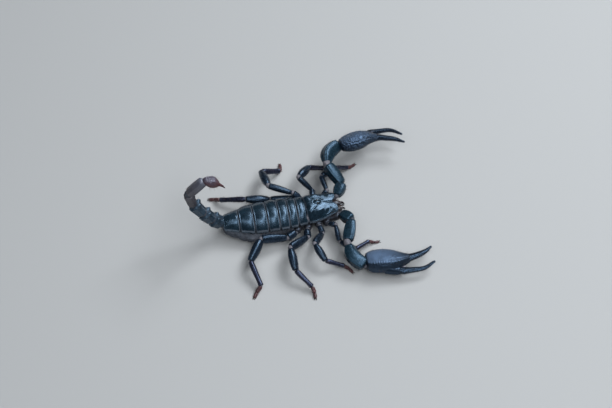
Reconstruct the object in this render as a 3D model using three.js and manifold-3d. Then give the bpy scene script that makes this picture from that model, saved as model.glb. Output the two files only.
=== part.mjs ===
// A full-grown forest scorpion, life size and still: belly low, pincers forward, tail arched up.
// Millimetres, +X towards the head, +Y to the animal's left, +Z up, feet on z = 0.
import * as THREE from "three";
import { mergeVertices } from "three/addons/utils/BufferGeometryUtils.js";
import Module from "manifold-3d";

const wasm = await Module();
wasm.setup();

// ---- Driving dimensions: the trunk, measured from the joint of head shield and abdomen ----

const GAP = 0.3; // between two plates that meet
const SHIELD_LENGTH = 15.2;
const SHIELD_TURN = 4; // degrees that the head shield turns to the left
const SHIELD_NOTCH = 2.0; // depth of the notch between the two front lobes
const SHIELD_RIM = 7.3; // height of its side margin
const SHIELD_TOP = 11.8;
const TRUNK_LENGTH = 38.6; // from the head shield to the root of the tail
const TERGITE_LENGTHS = [3.9, 4.1, 4.6, 5.4, 6.2, 6.8, 7.6];
const TERGITE_RIM = 7.6;
const SHIELD_BACK = 0.75; // from the joint to the rear edge of the shield
const EYE_RADIUS = 0.5;
const EYE_SPOT = [6.0, 0.85, 12.5];

// Half widths and levels along the trunk: [share from front to rear, value].
const SHIELD_HALF = [[0, 7.4], [0.15, 7.8], [0.45, 7.3], [0.75, 6.3], [1, 5.7]];
const TERGITE_HALF = [[0, 7.7], [0.2, 8.5], [0.5, 8.5], [0.65, 7.9], [0.8, 6.3], [1, 3.9]];
const BELLY_HALF = [[0, 6.4], [0.12, 8.0], [0.35, 8.5], [0.58, 9.8], [0.7, 9.8], [0.84, 7.4], [1, 3.6]];
const TERGITE_CREST = [[0, 12.2], [0.4, 12.8], [0.75, 12.6], [0.9, 11.9], [1, 10.9]];
const BELLY_AXIS = [[0, 4.2], [0.7, 4.2], [0.85, 4.9], [1, 6.4]];
const BELLY_DROP = [[0, 2.6], [0.3, 3.0], [0.7, 3.0], [1, 2.4]];
const BELLY_RISE = 2.7;
const BELLY_SQUARE = 3;

// ---- Driving dimensions: limbs and tail, [length, yaw, pitch] for each piece in turn ----

// Yaw turns from +X towards +Y and pitch rises, both in degrees.
const TAIL_ROOT = [-38.9, 0, 8.5];
const TAIL = [
  [6.2, -176, 46],
  [7.0, 180, 57],
  [8.2, 173, 60],
  [9.2, 190, 79],
  [12.2, -5, 60],
];
const TAIL_RADIUS = [3.15, 2.9, 2.7, 2.5, 2.45];
const BULB = [8.4, -5, -33];
const STING = [5.0, 0, -50];

const CLAW_ROOT = [16.0, 5.2, 7.6];
const CLAW = {
  right: {
    trochanter: [7.0, -54, 17],
    femur: [12.1, -111, -7],
    patella: [13.2, -62, -15],
    hand: [17.4, -5, 0],
    roll: 0,
    fixedFinger: [[19.5, 1.4, 0], [24.6, 2.8, 0], [28.7, 4.8, 0], [31.4, 7.2, 0]],
    movingFinger: [[16.4, -4.4, -0.6], [22, -4.5, -0.6], [27, -4.0, -0.4], [32, -0.8, -0.3]],
  },
  left: {
    trochanter: [7.0, 56, 3],
    femur: [12.1, 119, 21],
    patella: [13.2, 53, -3],
    hand: [17.4, 8.5, -2],
    roll: 42,
    fixedFinger: [[19.2, 1.6, -0.8], [23.1, 2.2, -2.0], [26.8, 3.2, -3.4], [31.1, 5.4, -5.9]],
    movingFinger: [[16.4, -4.3, 0.2], [21.4, -4.4, 0.2], [27.4, -3.5, -0.5], [31.9, 0.2, -3.0]],
  },
};
const CLAW_BOW = 1.6; // outward bow of the patella, the second large length of a pincer arm

// Girths are stations along a piece: [share, half width, height over its axis, depth under it].
const CLAW_COXA_PATH = [[7.2, 4.0, 5.0], [11.5, 4.4, 5.6], [15.4, 5.1, 7.2]];
const CLAW_COXA_GIRTH = [[0, 1.4, 1.5, 1.6], [0.5, 2.0, 1.5, 2.2], [1, 1.5, 1.4, 1.8]];
const CLAW_GIRTH = {
  trochanter: [[0, 1.6, 1.6, 1.6], [0.5, 2.9, 2.5, 2.5], [1, 2.2, 2.0, 2.0]],
  femur: [[0, 1.6, 1.5, 1.5], [0.35, 2.6, 2.2, 2.2], [0.75, 2.8, 2.2, 2.3], [1, 1.8, 1.5, 1.5]],
  patella: [[0, 1.5, 1.4, 1.4], [0.3, 3.1, 2.5, 2.6], [0.7, 3.2, 2.6, 2.7], [1, 2.0, 1.7, 1.8]],
};
const PALM_GIRTH = [
  [0, 3.4, 2.4, 2.4],
  [0.1, 5.5, 3.4, 3.4],
  [0.3, 6.4, 4.0, 4.1],
  [0.55, 6.3, 4.0, 4.0],
  [0.8, 4.7, 3.0, 3.0],
  [1, 2.2, 1.9, 1.9],
];
const FIXED_FINGER_GIRTH = [
  [0, 1.8, 1.7, 1.7],
  [0.4, 1.9, 1.45, 1.45],
  [0.7, 1.4, 1.15, 1.15],
  [1, 0.4, 0.4, 0.4],
];
const MOVING_FINGER_GIRTH = [
  [0, 1.2, 1.2, 1.2],
  [0.2, 1.4, 1.3, 1.3],
  [0.6, 1.05, 0.95, 0.95],
  [1, 0.4, 0.4, 0.4],
];
const JAW_PATH = [[13.6, 1.6, 6.5], [17.0, 1.6, 6.4], [20.2, 1.4, 5.2]];
const JAW_GIRTH = [[0, 1.1, 1.0, 1.2], [0.5, 1.3, 1.3, 1.5], [0.8, 0.9, 0.9, 1.0], [1, 0.5, 0.5, 0.5]];
const COMB_PATH = [[-1.2, 1.2, 0.75], [-4.4, 4.4, 0.85], [-7.2, 7.4, 1.5]];
const COMB_GIRTH = [[0, 0.4, 0.3, 0.3], [0.3, 0.7, 0.3, 0.3], [1, 0.5, 0.28, 0.28]];

// Each leg: its hip on the right side, its four lengths, and the girth of its thigh.
const LEGS = [
  { hip: [9.8, 7.6, 4.8], lengths: [4.0, 8.4, 8.2, 8.7, 2.8, 2.5], girth: 1.55 },
  { hip: [5.4, 8.2, 5.2], lengths: [4.4, 9.3, 9.3, 9.2, 2.8, 2.5], girth: 1.75 },
  { hip: [-0.4, 9.0, 5.0], lengths: [4.5, 11.8, 11.0, 10.5, 3.1, 2.7], girth: 1.95 },
  { hip: [-5.8, 9.4, 4.8], lengths: [5.0, 12.7, 11.8, 12.7, 3.6, 2.9], girth: 2.0 },
];
// The yaw of trochanter, femur, patella, tibia, basitarsus and tarsus, then the pitch of the first three.
const STANCE = {
  right: [
    { yaw: [-38, -88, -40, 31, -5, 6], pitch: [26, -14, -2] },
    { yaw: [-83, -126, -67, -15, -26, -58], pitch: [0, 21, -18] },
    { yaw: [-100, -145, -88, -52, -73, -97], pitch: [5, 17, -15] },
    { yaw: [-152, -178, -125, -77, -143, -122], pitch: [2, 13, -9] },
  ],
  left: [
    { yaw: [33, 97, 32, 17, 32, 32], pitch: [39, 1, -5] },
    { yaw: [81, 139, 47, 16, 40, 45], pitch: [-8, 36, -17] },
    { yaw: [150, 158, 98, 15, 71, 85], pitch: [34, 13, -15] },
    { yaw: [20, 176, 177, 160, 135, 165], pitch: [-22, 3, 12] },
  ],
};
const ANKLE_PITCH = -32;
const TOE_PITCH = -11;
const TOE_LEVEL = 0.15; // height of the middle of a toe tip against the leg's girth; it is cut flat at z = 0
const LEG_FLATNESS = 0.66; // width of a thigh against its depth
const LEG_LEAN = 30; // degrees that the top edge of a thigh leans towards the body
const SHANK_SHARE = 0.66; // girth of a shin and foot against that of the thigh
const SHANK = [
  [0, 0.75, 0.8, 0.8],
  [0.12, 0.98, 1, 1],
  [0.5, 0.8, 0.85, 0.85],
  [0.66, 0.72, 0.75, 0.75],
  [0.85, 0.6, 0.62, 0.62],
  [1, 0.42, 0.45, 0.5],
];
const UNGUIS_LENGTH = 1.4; // each foot ends in two claws
const UNGUIS_SPREAD = 26;
const UNGUIS_GIRTH = [[0, 0.34, 0.34, 0.34], [1, 0.25, 0.25, 0.25]];

// ---- Finishes ----

const finish = (color, roughness) =>
  new THREE.MeshStandardMaterial({ color, roughness, metalness: 0 });
const BLUE_BLACK = finish(0x18242e, 0.3);
const GREY_BROWN = finish(0x3b3a3c, 0.6);
const TAIL_BROWN = finish(0x2b2a2d, 0.4);
const RUST = finish(0x4a1c18, 0.4);
const LEG_BLUE = finish(0x1c222e, 0.35);
const EYE_BLACK = finish(0x050607, 0.1);

// ---- Making shapes ----

const vector = (list) => new THREE.Vector3(...list);
const mirrored = ([x, y, z], side) => [x, side === "left" ? y : -y, z];

function heading(yaw, pitch) {
  const [turn, rise] = [yaw, pitch].map(THREE.MathUtils.degToRad);
  const flat = Math.cos(rise);
  return new THREE.Vector3(flat * Math.cos(turn), flat * Math.sin(turn), Math.sin(rise));
}

// The values of a smooth curve through stations [share, value, ...] at share t.
function smooth(stations, t) {
  const last = stations.length - 1;
  let k = 0;
  while (k < last - 1 && t > stations[k + 1][0]) k++;
  const [before, from, to, after] = [k - 1, k, k + 1, k + 2].map(
    (i) => stations[Math.min(Math.max(i, 0), last)],
  );
  const span = to[0] - from[0];
  const u = Math.min(Math.max((t - from[0]) / span, 0), 1);
  return from.slice(1).map((_, i) => {
    const slopeIn = (span * (to[i + 1] - before[i + 1])) / (to[0] - before[0]);
    const slopeOut = (span * (after[i + 1] - from[i + 1])) / (after[0] - from[0]);
    return (
      from[i + 1] * (2 * u ** 3 - 3 * u ** 2 + 1) +
      slopeIn * (u ** 3 - 2 * u ** 2 + u) +
      to[i + 1] * (3 * u ** 2 - 2 * u ** 3) +
      slopeOut * (u ** 3 - u ** 2)
    );
  });
}

// A closed limb: a sphere drawn out along a path, each ring square to it. The stations give
// [share, half width, height over the path, depth under it]; both ends are rounded off.
function limb(path, stations, options = {}) {
  const { sides = 8, rings = 8, lean = 0, side, square = 2, ends = [1, 1], swell = 0 } = options;
  const curve = new THREE.CatmullRomCurve3(path, false, "centripetal");
  const reach = curve.getLength();
  const ball = new THREE.SphereGeometry(1, sides, rings);
  const spots = ball.getAttribute("position");
  const upright = new THREE.Vector3(0, 0, 1);
  for (let i = 0; i < spots.count; i++) {
    const polar = new THREE.Vector3().fromBufferAttribute(spots, i);
    const t = (1 - polar.y) / 2;
    const along = curve.getTangentAt(t);
    const across = side ? side.clone() : upright.clone().cross(along);
    across.addScaledVector(along, -across.dot(along)).normalize();
    const up = along.clone().cross(across);
    const turn = THREE.MathUtils.degToRad(lean);
    const leant = across.clone().multiplyScalar(Math.cos(turn)).addScaledVector(up, Math.sin(turn));
    up.multiplyScalar(Math.cos(turn)).addScaledVector(across, -Math.sin(turn));
    const [half, over, under] = smooth(stations, t).map((value) => value + swell);
    const ring = Math.hypot(polar.x, polar.z);
    const near = Math.min((t * reach) / ends[0], ((1 - t) * reach) / ends[1], 1);
    const rounding = ring > 1e-6 ? Math.sqrt(1 - (1 - near) ** 2) : 0;
    const [sideways, upwards] = ring > 1e-6 ? [polar.x / ring, polar.z / ring] : [0, 0];
    const corner = (Math.abs(sideways) ** square + Math.abs(upwards) ** square) ** (-1 / square);
    const fill = ring > 1e-6 ? corner * rounding : 0;
    const spot = curve.getPointAt(t);
    spot.addScaledVector(leant, sideways * half * fill);
    spot.addScaledVector(up, upwards * (upwards > 0 ? over : under) * fill);
    spot.addScaledVector(along, (2 * t - 1) * swell);
    spots.setXYZ(i, ...spot);
  }
  return ball;
}

// A plate: a box of unit size whose points (u along, v across from -1 to 1, w up) go where place says.
function plate(place, lengthSteps, widthSteps) {
  const slab = new THREE.BoxGeometry(1, 2, 1, lengthSteps, widthSteps, 1);
  const spots = slab.getAttribute("position");
  for (let i = 0; i < spots.count; i++) {
    spots.setXYZ(i, ...place(spots.getX(i) + 0.5, spots.getY(i), spots.getZ(i) + 0.5));
  }
  return slab;
}

function solid(geometry) {
  const bare = geometry.clone();
  bare.deleteAttribute("normal");
  bare.deleteAttribute("uv");
  const merged = mergeVertices(bare, 1e-4);
  return new wasm.Manifold(
    new wasm.Mesh({
      numProp: 3,
      vertProperties: merged.getAttribute("position").array,
      triVerts: new Uint32Array(merged.index.array),
    }),
  );
}

function skinOf(made) {
  const { vertProperties, triVerts } = made.getMesh();
  const geometry = new THREE.BufferGeometry();
  geometry.setAttribute("position", new THREE.BufferAttribute(vertProperties, 3));
  geometry.setIndex(new THREE.BufferAttribute(triVerts, 1));
  return geometry;
}

const scorpion = new THREE.Group();

function add(name, geometry, material, at = [0, 0, 0]) {
  const mesh = new THREE.Mesh(geometry, material);
  mesh.name = name;
  mesh.position.set(...at);
  scorpion.add(mesh);
}

const moved = (geometry, at) => geometry.clone().translate(...at);

// ---- Belly: one long sac, widest low down and behind the middle ----

const bellyShare = (x) => -x / TRUNK_LENGTH;

function bellyTop(x, y) {
  const t = bellyShare(x);
  const reach = Math.min(Math.abs(y) / smooth(BELLY_HALF, t)[0], 1);
  return smooth(BELLY_AXIS, t)[0] + BELLY_RISE * (1 - reach ** BELLY_SQUARE) ** (1 / BELLY_SQUARE);
}

function belly() {
  const path = [0, 0.35, 0.7, 0.85, 1].map((t) =>
    vector([-t * TRUNK_LENGTH, 0, smooth(BELLY_AXIS, t)[0]]),
  );
  const stations = [0, 0.12, 0.3, 0.5, 0.68, 0.84, 1].map((t) => {
    const half = smooth(BELLY_HALF, t)[0];
    return [t, half, BELLY_RISE, smooth(BELLY_DROP, t)[0]];
  });
  return limb(path, stations, { sides: 14, rings: 9, square: BELLY_SQUARE, ends: [0.9, 0.9] });
}

// ---- Back plates: seven domes on the belly, each a little proud at its rear edge ----

function tergite(front, length, last) {
  const place = (u, v, w) => {
    const x = front - GAP / 2 - (1 - u) * (length - GAP);
    const share = bellyShare(x);
    const y = v * smooth(TERGITE_HALF, share)[0];
    const floor = Math.max(bellyTop(x, y) + GAP + 0.1, TERGITE_RIM - 0.6);
    if (w < 0.5) return [x, y, floor];
    const rim = Math.max(TERGITE_RIM, floor + 0.55);
    const crest = smooth(TERGITE_CREST, share)[0] - 0.4 * u;
    return [x, y, rim + (crest - rim) * (1 - Math.abs(v) ** 2.4) ** 0.9];
  };
  return plate(place, last ? 3 : 2, 10);
}

// ---- Head shield: a glossy dome with two front lobes, an eye boss and a hollow at the rear ----

const bump = (distance, size) => Math.exp(-((distance / size) ** 2));

function shieldTop(x, y) {
  const s = x / SHIELD_LENGTH;
  const v = Math.min(Math.abs(y) / smooth(SHIELD_HALF, s)[0], 1);
  const rim = SHIELD_RIM + 2.2 * Math.max(s - 0.3, 0) ** 1.3;
  const crown = SHIELD_TOP - 1.5 * s ** 3 - rim;
  const dome = crown * (1 - v ** (2.2 + 1.6 * s)) ** 0.75;
  const boss = 0.9 * bump(x - EYE_SPOT[0], 1.9) * bump(y, 1.1);
  const groove = 0.9 * bump(y, 0.8) * Math.max(s - 0.6, 0);
  const hollow = 1.9 * bump(x, 2.4) * bump(y, 1.7);
  return rim + 0.55 + dome + boss - groove - hollow;
}

function headShield() {
  const place = (u, v, w) => {
    const half = smooth(SHIELD_HALF, u)[0];
    const y = v * half * (1 - 0.04 * u ** 8);
    const lobes = SHIELD_NOTCH * bump(v, 0.28) + 0.8 * Math.abs(v) ** 6;
    const x = SHIELD_BACK + u * (SHIELD_LENGTH - SHIELD_BACK - lobes * u ** 3);
    const floor = SHIELD_RIM + 2.2 * Math.max(u - 0.3, 0) ** 1.3;
    return [x, y, w < 0.5 ? floor : shieldTop(x, y)];
  };
  return plate(place, 8, 10);
}

// ---- Underneath: leg coxae fanned round the breast plate, and the pincer coxae in front ----

function coxa(hip, swell = 0) {
  const inner = [hip[0] * 0.55 + 2.2, Math.sign(hip[1]) * 2.0, 3.4];
  const path = [vector(inner), vector(hip)];
  const girth = [[0, 1.2, 1.3, 1.3], [0.6, 1.9, 1.8, 1.7], [1, 1.5, 1.5, 1.5]];
  return limb(path, girth, { sides: 6, rings: 4, ends: [1, 1.2], swell });
}

function clawCoxa(side, swell = 0) {
  const points = CLAW_COXA_PATH.map((point) => vector(mirrored(point, side)));
  return limb(points, CLAW_COXA_GIRTH, { sides: 8, rings: 6, ends: [1.2, 1.6], swell });
}

function underside() {
  const core = limb(
    [vector([-2.0, 0, 4.6]), vector([9.5, 0, 5.0])],
    [[0, 4.2, 2.2, 2.2], [0.5, 5.6, 2.2, 2.8], [1, 4.4, 2.0, 2.0]],
    { sides: 10, rings: 4, square: 3, ends: [1.5, 1.5] },
  );
  let joined = solid(core);
  for (const side of ["left", "right"]) {
    for (const leg of LEGS) joined = joined.add(solid(coxa(mirrored(leg.hip, side))));
  }
  for (const side of ["left", "right"]) {
    joined = joined.subtract(solid(clawCoxa(side, GAP)));
  }
  return joined;
}

// ---- Tail: five ringed lengths in an arch, then the sting ----

const TAIL_SIDE = new THREE.Vector3(0, -1, 0); // keeps the crest on the inside of the arch

function tailLength(i, swell = 0) {
  const [length, yaw, pitch] = TAIL[i];
  const radius = TAIL_RADIUS[i];
  const step = heading(yaw, pitch).multiplyScalar(length);
  const inset = heading(yaw, pitch).multiplyScalar(GAP / 2 + 0.08 * radius);
  const path = [inset, step.clone().sub(inset)];
  const waist = 0.86 * radius;
  const girth = [
    [0, waist, waist, waist],
    [0.25, radius * 0.94, radius * 0.9, radius * 0.95],
    [0.85, radius, radius * 1.02, radius],
    [1, waist, waist, waist],
  ];
  const ends = [0.5 * radius, 0.55 * radius];
  return limb(path, girth, { sides: 12, rings: 8, side: TAIL_SIDE, square: 2.5, ends, swell });
}

const joint = vector(TAIL_ROOT);
TAIL.forEach(([length, yaw, pitch], i) => {
  add(`tail_${i + 1}`, tailLength(i), i < 3 ? BLUE_BLACK : TAIL_BROWN, joint.toArray());
  joint.addScaledVector(heading(yaw, pitch), length);
});

// ---- Trunk ----

const breast = underside();
let sac = solid(belly());
for (const side of ["left", "right"]) {
  for (const leg of LEGS.slice(2)) sac = sac.subtract(solid(coxa(mirrored(leg.hip, side), GAP)));
}
const roomForBreast = limb(
  [vector([-3.2, 0, 4.4]), vector([3, 0, 4.4])],
  [[0, 6.4, 3.4, 3.4], [1, 6.4, 3.4, 3.4]],
  { sides: 12, rings: 4, square: 3, ends: [1.2, 1.2] },
);
sac = sac.subtract(solid(roomForBreast));
sac = sac.subtract(solid(moved(tailLength(0, GAP), TAIL_ROOT)));
add("belly", skinOf(sac), GREY_BROWN);
add("underside", skinOf(breast), GREY_BROWN);

let front = 0;
const tailRoot = solid(moved(tailLength(0, GAP), TAIL_ROOT));
TERGITE_LENGTHS.forEach((length, i) => {
  const last = i === TERGITE_LENGTHS.length - 1;
  const dome = tergite(front, length, last);
  add(`tergite_${i + 1}`, last ? skinOf(solid(dome).subtract(tailRoot)) : dome, BLUE_BLACK);
  front -= length;
});

const turned = (geometry) => geometry.rotateZ(THREE.MathUtils.degToRad(SHIELD_TURN));
const eye = (side, size) => {
  const ball = new THREE.SphereGeometry(size, 8, 5);
  return ball.translate(...mirrored(EYE_SPOT, side));
};
let shield = solid(headShield());
for (const side of ["left", "right"]) shield = shield.subtract(solid(eye(side, EYE_RADIUS + 0.15)));
add("carapace", turned(skinOf(shield)), BLUE_BLACK);
for (const side of ["left", "right"]) {
  add(`eye_${side}`, turned(eye(side, EYE_RADIUS)), EYE_BLACK);
  const jaw = limb(
    JAW_PATH.map((point) => vector(mirrored(point, side))),
    JAW_GIRTH,
    { sides: 8, rings: 7, ends: [1, 0.8] },
  );
  add(`chelicera_${side}`, jaw, GREY_BROWN);
  add(`claw_${side}_coxa`, clawCoxa(side), GREY_BROWN);
}

function sting() {
  const [bulbStep, tipStep] = [BULB, STING].map(([length, yaw, pitch]) =>
    heading(yaw, pitch).multiplyScalar(length),
  );
  const inset = heading(BULB[1], BULB[2]).multiplyScalar(1.6);
  const neck = bulbStep.clone().multiplyScalar(0.55);
  const middle = bulbStep.clone().addScaledVector(tipStep, 0.45).add(new THREE.Vector3(0.35, 0, 0.5));
  const path = [inset, neck, bulbStep, middle, bulbStep.clone().add(tipStep)];
  const girth = [
    [0, 1.2, 1.2, 1.2],
    [0.16, 2.2, 1.8, 2.2],
    [0.36, 2.6, 2.1, 2.9],
    [0.52, 2.0, 1.6, 2.1],
    [0.66, 0.8, 0.8, 0.8],
    [0.85, 0.5, 0.5, 0.5],
    [1, 0.28, 0.28, 0.28],
  ];
  return limb(path, girth, { sides: 10, rings: 15, side: TAIL_SIDE, ends: [1.0, 0.4] });
}
add("sting", sting(), RUST, joint.toArray());

// ---- Pincers: trochanter, femur, patella, then the hand with its fixed finger and the moving finger ----

// A point of the hand: a along it, b towards the inner finger, c up from its flat, as one vector.
function handFrame(side) {
  const { hand, roll } = CLAW[side];
  const along = heading(hand[1], hand[2]);
  const inward = new THREE.Vector3(0, 0, 1).cross(along).normalize();
  if (side === "left") inward.negate();
  const up = new THREE.Vector3(0, 0, 1).addScaledVector(along, -along.z).normalize();
  const turn = THREE.MathUtils.degToRad(roll);
  const inner = inward.clone().multiplyScalar(Math.cos(turn)).addScaledVector(up, Math.sin(turn));
  const over = up.clone().multiplyScalar(Math.cos(turn)).addScaledVector(inward, -Math.sin(turn));
  const point = ([a, b, c]) =>
    new THREE.Vector3().addScaledVector(along, a).addScaledVector(inner, b).addScaledVector(over, c);
  return { point, lean: side === "left" ? -roll : roll };
}

function movingFinger(side, swell = 0) {
  const { point, lean } = handFrame(side);
  const path = CLAW[side].movingFinger.map(point);
  return limb(path, MOVING_FINGER_GIRTH, { sides: 8, rings: 9, lean, ends: [1.2, 0.6], swell });
}

function hand(side) {
  const { point, lean } = handFrame(side);
  const length = CLAW[side].hand[0];
  const palmPath = [[0.6, 1.6, 0], [6, 1.6, 0], [length - 2, 0.4, 0], [length + 1.6, 0.8, 0]].map(point);
  const palm = limb(palmPath, PALM_GIRTH, { sides: 12, rings: 10, lean, square: 2.3, ends: [1.2, 1.6] });
  const fingerPath = [[13, 2.0, 0], ...CLAW[side].fixedFinger].map(point);
  const finger = limb(fingerPath, FIXED_FINGER_GIRTH, { sides: 8, rings: 11, lean, ends: [1.5, 0.6] });
  return solid(palm).add(solid(finger)).subtract(solid(movingFinger(side, GAP)));
}

for (const side of ["right", "left"]) {
  let elbow = vector(mirrored(CLAW_ROOT, side));
  for (const piece of ["trochanter", "femur", "patella"]) {
    const [length, yaw, pitch] = CLAW[side][piece];
    const way = heading(yaw, pitch);
    const inset = piece === "trochanter" ? 1.0 : 0.75;
    const bow = new THREE.Vector3(0, 0, side === "left" ? 1 : -1).cross(way).setLength(CLAW_BOW);
    const bend = way.clone().multiplyScalar(length / 2);
    if (piece === "patella") bend.add(bow);
    const path = [way.clone().multiplyScalar(inset), bend, way.clone().multiplyScalar(length - 0.75)];
    const lean = piece === "trochanter" ? 0 : CLAW[side].roll * 0.3 * (side === "left" ? -1 : 1);
    const shape = { sides: 10, rings: 8, square: 2.6, lean, ends: [1.4, 1.5] };
    add(`claw_${side}_${piece}`, limb(path, CLAW_GIRTH[piece], shape), BLUE_BLACK, elbow.toArray());
    elbow.addScaledVector(way, length);
  }
  add(`claw_${side}_hand`, skinOf(hand(side)), BLUE_BLACK, elbow.toArray());
  add(`claw_${side}_finger`, movingFinger(side), BLUE_BLACK, elbow.toArray());
}

// ---- Legs: thigh with its trochanter, patella, and the foot with its two claws, cut flat below ----

function foot(path, yaw, girth, height) {
  const reach = path[path.length - 1];
  const stations = SHANK.map(([t, ...size]) => [t, ...size.map((value) => value * girth * SHANK_SHARE)]);
  let joined = solid(limb(path, stations, { sides: 6, rings: 11, ends: [0.8, 0.5] }));
  for (const spread of [-UNGUIS_SPREAD, UNGUIS_SPREAD]) {
    const root = reach.clone().addScaledVector(heading(yaw, 0), -0.5);
    const middle = root.clone().addScaledVector(heading(yaw + spread, 8), UNGUIS_LENGTH * 0.55);
    const tip = middle.clone().addScaledVector(heading(yaw + spread * 0.6, -24), UNGUIS_LENGTH * 0.6);
    const claw = limb([root, middle, tip], UNGUIS_GIRTH, { sides: 4, rings: 3, ends: [0.2, 0.25] });
    joined = joined.add(solid(claw));
  }
  return joined.trimByPlane([0, 0, 1], -height);
}

for (const side of ["right", "left"]) {
  const lean = side === "left" ? -LEG_LEAN : LEG_LEAN;
  LEGS.forEach(({ hip, lengths, girth }, i) => {
    const { yaw, pitch } = STANCE[side][i];
    const name = `leg_${side}_${i + 1}`;
    const start = vector(mirrored(hip, side));
    const steps = pitch.map((rise, k) => heading(yaw[k], rise).multiplyScalar(lengths[k]));
    const knee = steps[0].clone().add(steps[1]);
    const thighPath = [
      steps[0].clone().setLength(1.7),
      steps[0],
      steps[0].clone().addScaledVector(steps[1], 0.5),
      knee.clone().addScaledVector(steps[1].clone().normalize(), -0.7),
    ];
    const turn = lengths[0] / (lengths[0] + lengths[1]);
    const thigh = [[0, 0.7], [turn * 0.6, 0.86], [turn, 0.72], [turn + 0.25, 0.95], [0.85, 1], [1, 0.75]]
      .map(([t, size]) => [t, size * girth * LEG_FLATNESS, size * girth, size * girth]);
    add(`${name}_femur`, limb(thighPath, thigh, { sides: 8, rings: 8, lean, ends: [1.1, 1.1] }), BLUE_BLACK,
      start.toArray());
    const kneeSpot = start.clone().add(knee);
    const shin = [[0, 0.7], [0.3, 1.05], [0.65, 1.02], [1, 0.66]]
      .map(([t, size]) => [t, size * girth * LEG_FLATNESS, size * girth, size * girth]);
    const shinPath = [steps[2].clone().setLength(0.7), steps[2].clone().setLength(lengths[2] - 0.6)];
    add(`${name}_patella`, limb(shinPath, shin, { sides: 8, rings: 6, lean, ends: [1.1, 1.0] }), BLUE_BLACK,
      kneeSpot.toArray());
    const ankle = kneeSpot.clone().add(steps[2]);
    const toeDrop = [ANKLE_PITCH, TOE_PITCH].map((fall, k) => heading(yaw[4 + k], fall)
      .multiplyScalar(lengths[4 + k]));
    const drop = TOE_LEVEL * girth - toeDrop[0].z - toeDrop[1].z - ankle.z;
    const tibia = heading(yaw[3], THREE.MathUtils.radToDeg(Math.asin(drop / lengths[3])))
      .multiplyScalar(lengths[3]);
    const heel = tibia.clone().add(toeDrop[0]);
    const footPath = [
      tibia.clone().setLength(0.6),
      tibia.clone().multiplyScalar(0.5),
      tibia,
      heel,
      heel.clone().add(toeDrop[1]),
    ];
    add(`${name}_foot`, skinOf(foot(footPath, yaw[5], girth, ankle.z)), LEG_BLUE, ankle.toArray());
  });
}

// ---- Combs under the belly ----

for (const side of ["left", "right"]) {
  const comb = limb(
    COMB_PATH.map((point) => vector(mirrored(point, side))),
    COMB_GIRTH,
    { sides: 6, rings: 6, ends: [0.4, 0.5] },
  );
  add(`comb_${side}`, comb, GREY_BROWN);
}

// The origin is the middle of the footprint, on the floor.
const footprint = new THREE.Box3().setFromObject(scorpion).getCenter(new THREE.Vector3());
scorpion.position.set(-footprint.x, -footprint.y, 0);

export default scorpion;
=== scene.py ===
import bpy
import math
from itertools import product
import numpy as np
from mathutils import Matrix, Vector


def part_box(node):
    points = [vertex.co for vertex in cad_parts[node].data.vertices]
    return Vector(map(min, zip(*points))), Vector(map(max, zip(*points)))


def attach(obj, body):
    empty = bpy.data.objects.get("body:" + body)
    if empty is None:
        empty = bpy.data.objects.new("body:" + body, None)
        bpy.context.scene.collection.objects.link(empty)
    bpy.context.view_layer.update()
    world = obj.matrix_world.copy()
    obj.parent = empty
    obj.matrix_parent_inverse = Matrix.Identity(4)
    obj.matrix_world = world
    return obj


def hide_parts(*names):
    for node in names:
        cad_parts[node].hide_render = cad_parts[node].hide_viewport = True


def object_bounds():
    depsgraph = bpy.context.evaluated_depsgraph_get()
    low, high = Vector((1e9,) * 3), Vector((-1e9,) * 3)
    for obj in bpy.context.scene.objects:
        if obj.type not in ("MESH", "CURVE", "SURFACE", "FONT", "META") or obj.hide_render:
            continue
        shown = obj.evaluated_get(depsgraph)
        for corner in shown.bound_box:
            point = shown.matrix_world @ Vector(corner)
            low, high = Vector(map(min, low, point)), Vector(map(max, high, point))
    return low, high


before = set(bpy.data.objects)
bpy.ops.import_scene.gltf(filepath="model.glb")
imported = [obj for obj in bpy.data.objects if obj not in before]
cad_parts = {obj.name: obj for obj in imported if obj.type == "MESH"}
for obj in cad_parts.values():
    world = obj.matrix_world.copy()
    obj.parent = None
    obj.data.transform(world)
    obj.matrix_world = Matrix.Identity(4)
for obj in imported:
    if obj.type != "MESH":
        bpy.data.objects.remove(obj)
cad_box = [list(corner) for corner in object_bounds()]

# ---- Head shield ----
# The one plate over head and front body, cast in a single shell: two front lobes with a notch
# between them, steep glossy flanks, furrows back from the eyes, and a thickened margin.
# Sizes here and below are millimetres from the waist, where shield and abdomen meet.

WAIST_GAP = 0.15
low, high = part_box("tergite_1")
waist = np.array([high.x * 1000 + WAIST_GAP, (low.y + high.y) * 500, 0.0])


def held(x):
    """x, held between 0 and 1."""
    return np.clip(x, 0, 1)


def curve(start, leave, stop, reach, u):
    """The smooth run from start to stop that leaves and arrives at those rates."""
    return (start * (2 * u**3 - 3 * u**2 + 1) + leave * (u**3 - 2 * u**2 + u)
            + stop * (3 * u**2 - 2 * u**3) + reach * (u**3 - u**2))


def eased(stations, share):
    """Smooth values at each share of a length, between stations of (share, value, value...)."""
    stations = np.asarray(stations, float)
    share = np.asarray(share, float)
    last = len(stations) - 1
    k = np.clip(np.searchsorted(stations[:, 0], share, side="right") - 1, 0, last - 1)
    before, start, stop, after = (stations[np.clip(k + i, 0, last)] for i in (-1, 0, 1, 2))
    span = stop[..., :1] - start[..., :1]
    u = held((share[..., None] - start[..., :1]) / span)
    leave = span * (stop - before) / (stop[..., :1] - before[..., :1])
    reach = span * (after - start) / (after[..., :1] - start[..., :1])
    value = curve(start, leave, stop, reach, u)
    return value[..., 1] if stations.shape[1] == 2 else value[..., 1:]


def hill(x, size):
    """1 where x is 0, falling off smoothly within the size."""
    return np.exp(-((x / size) ** 2))


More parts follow.
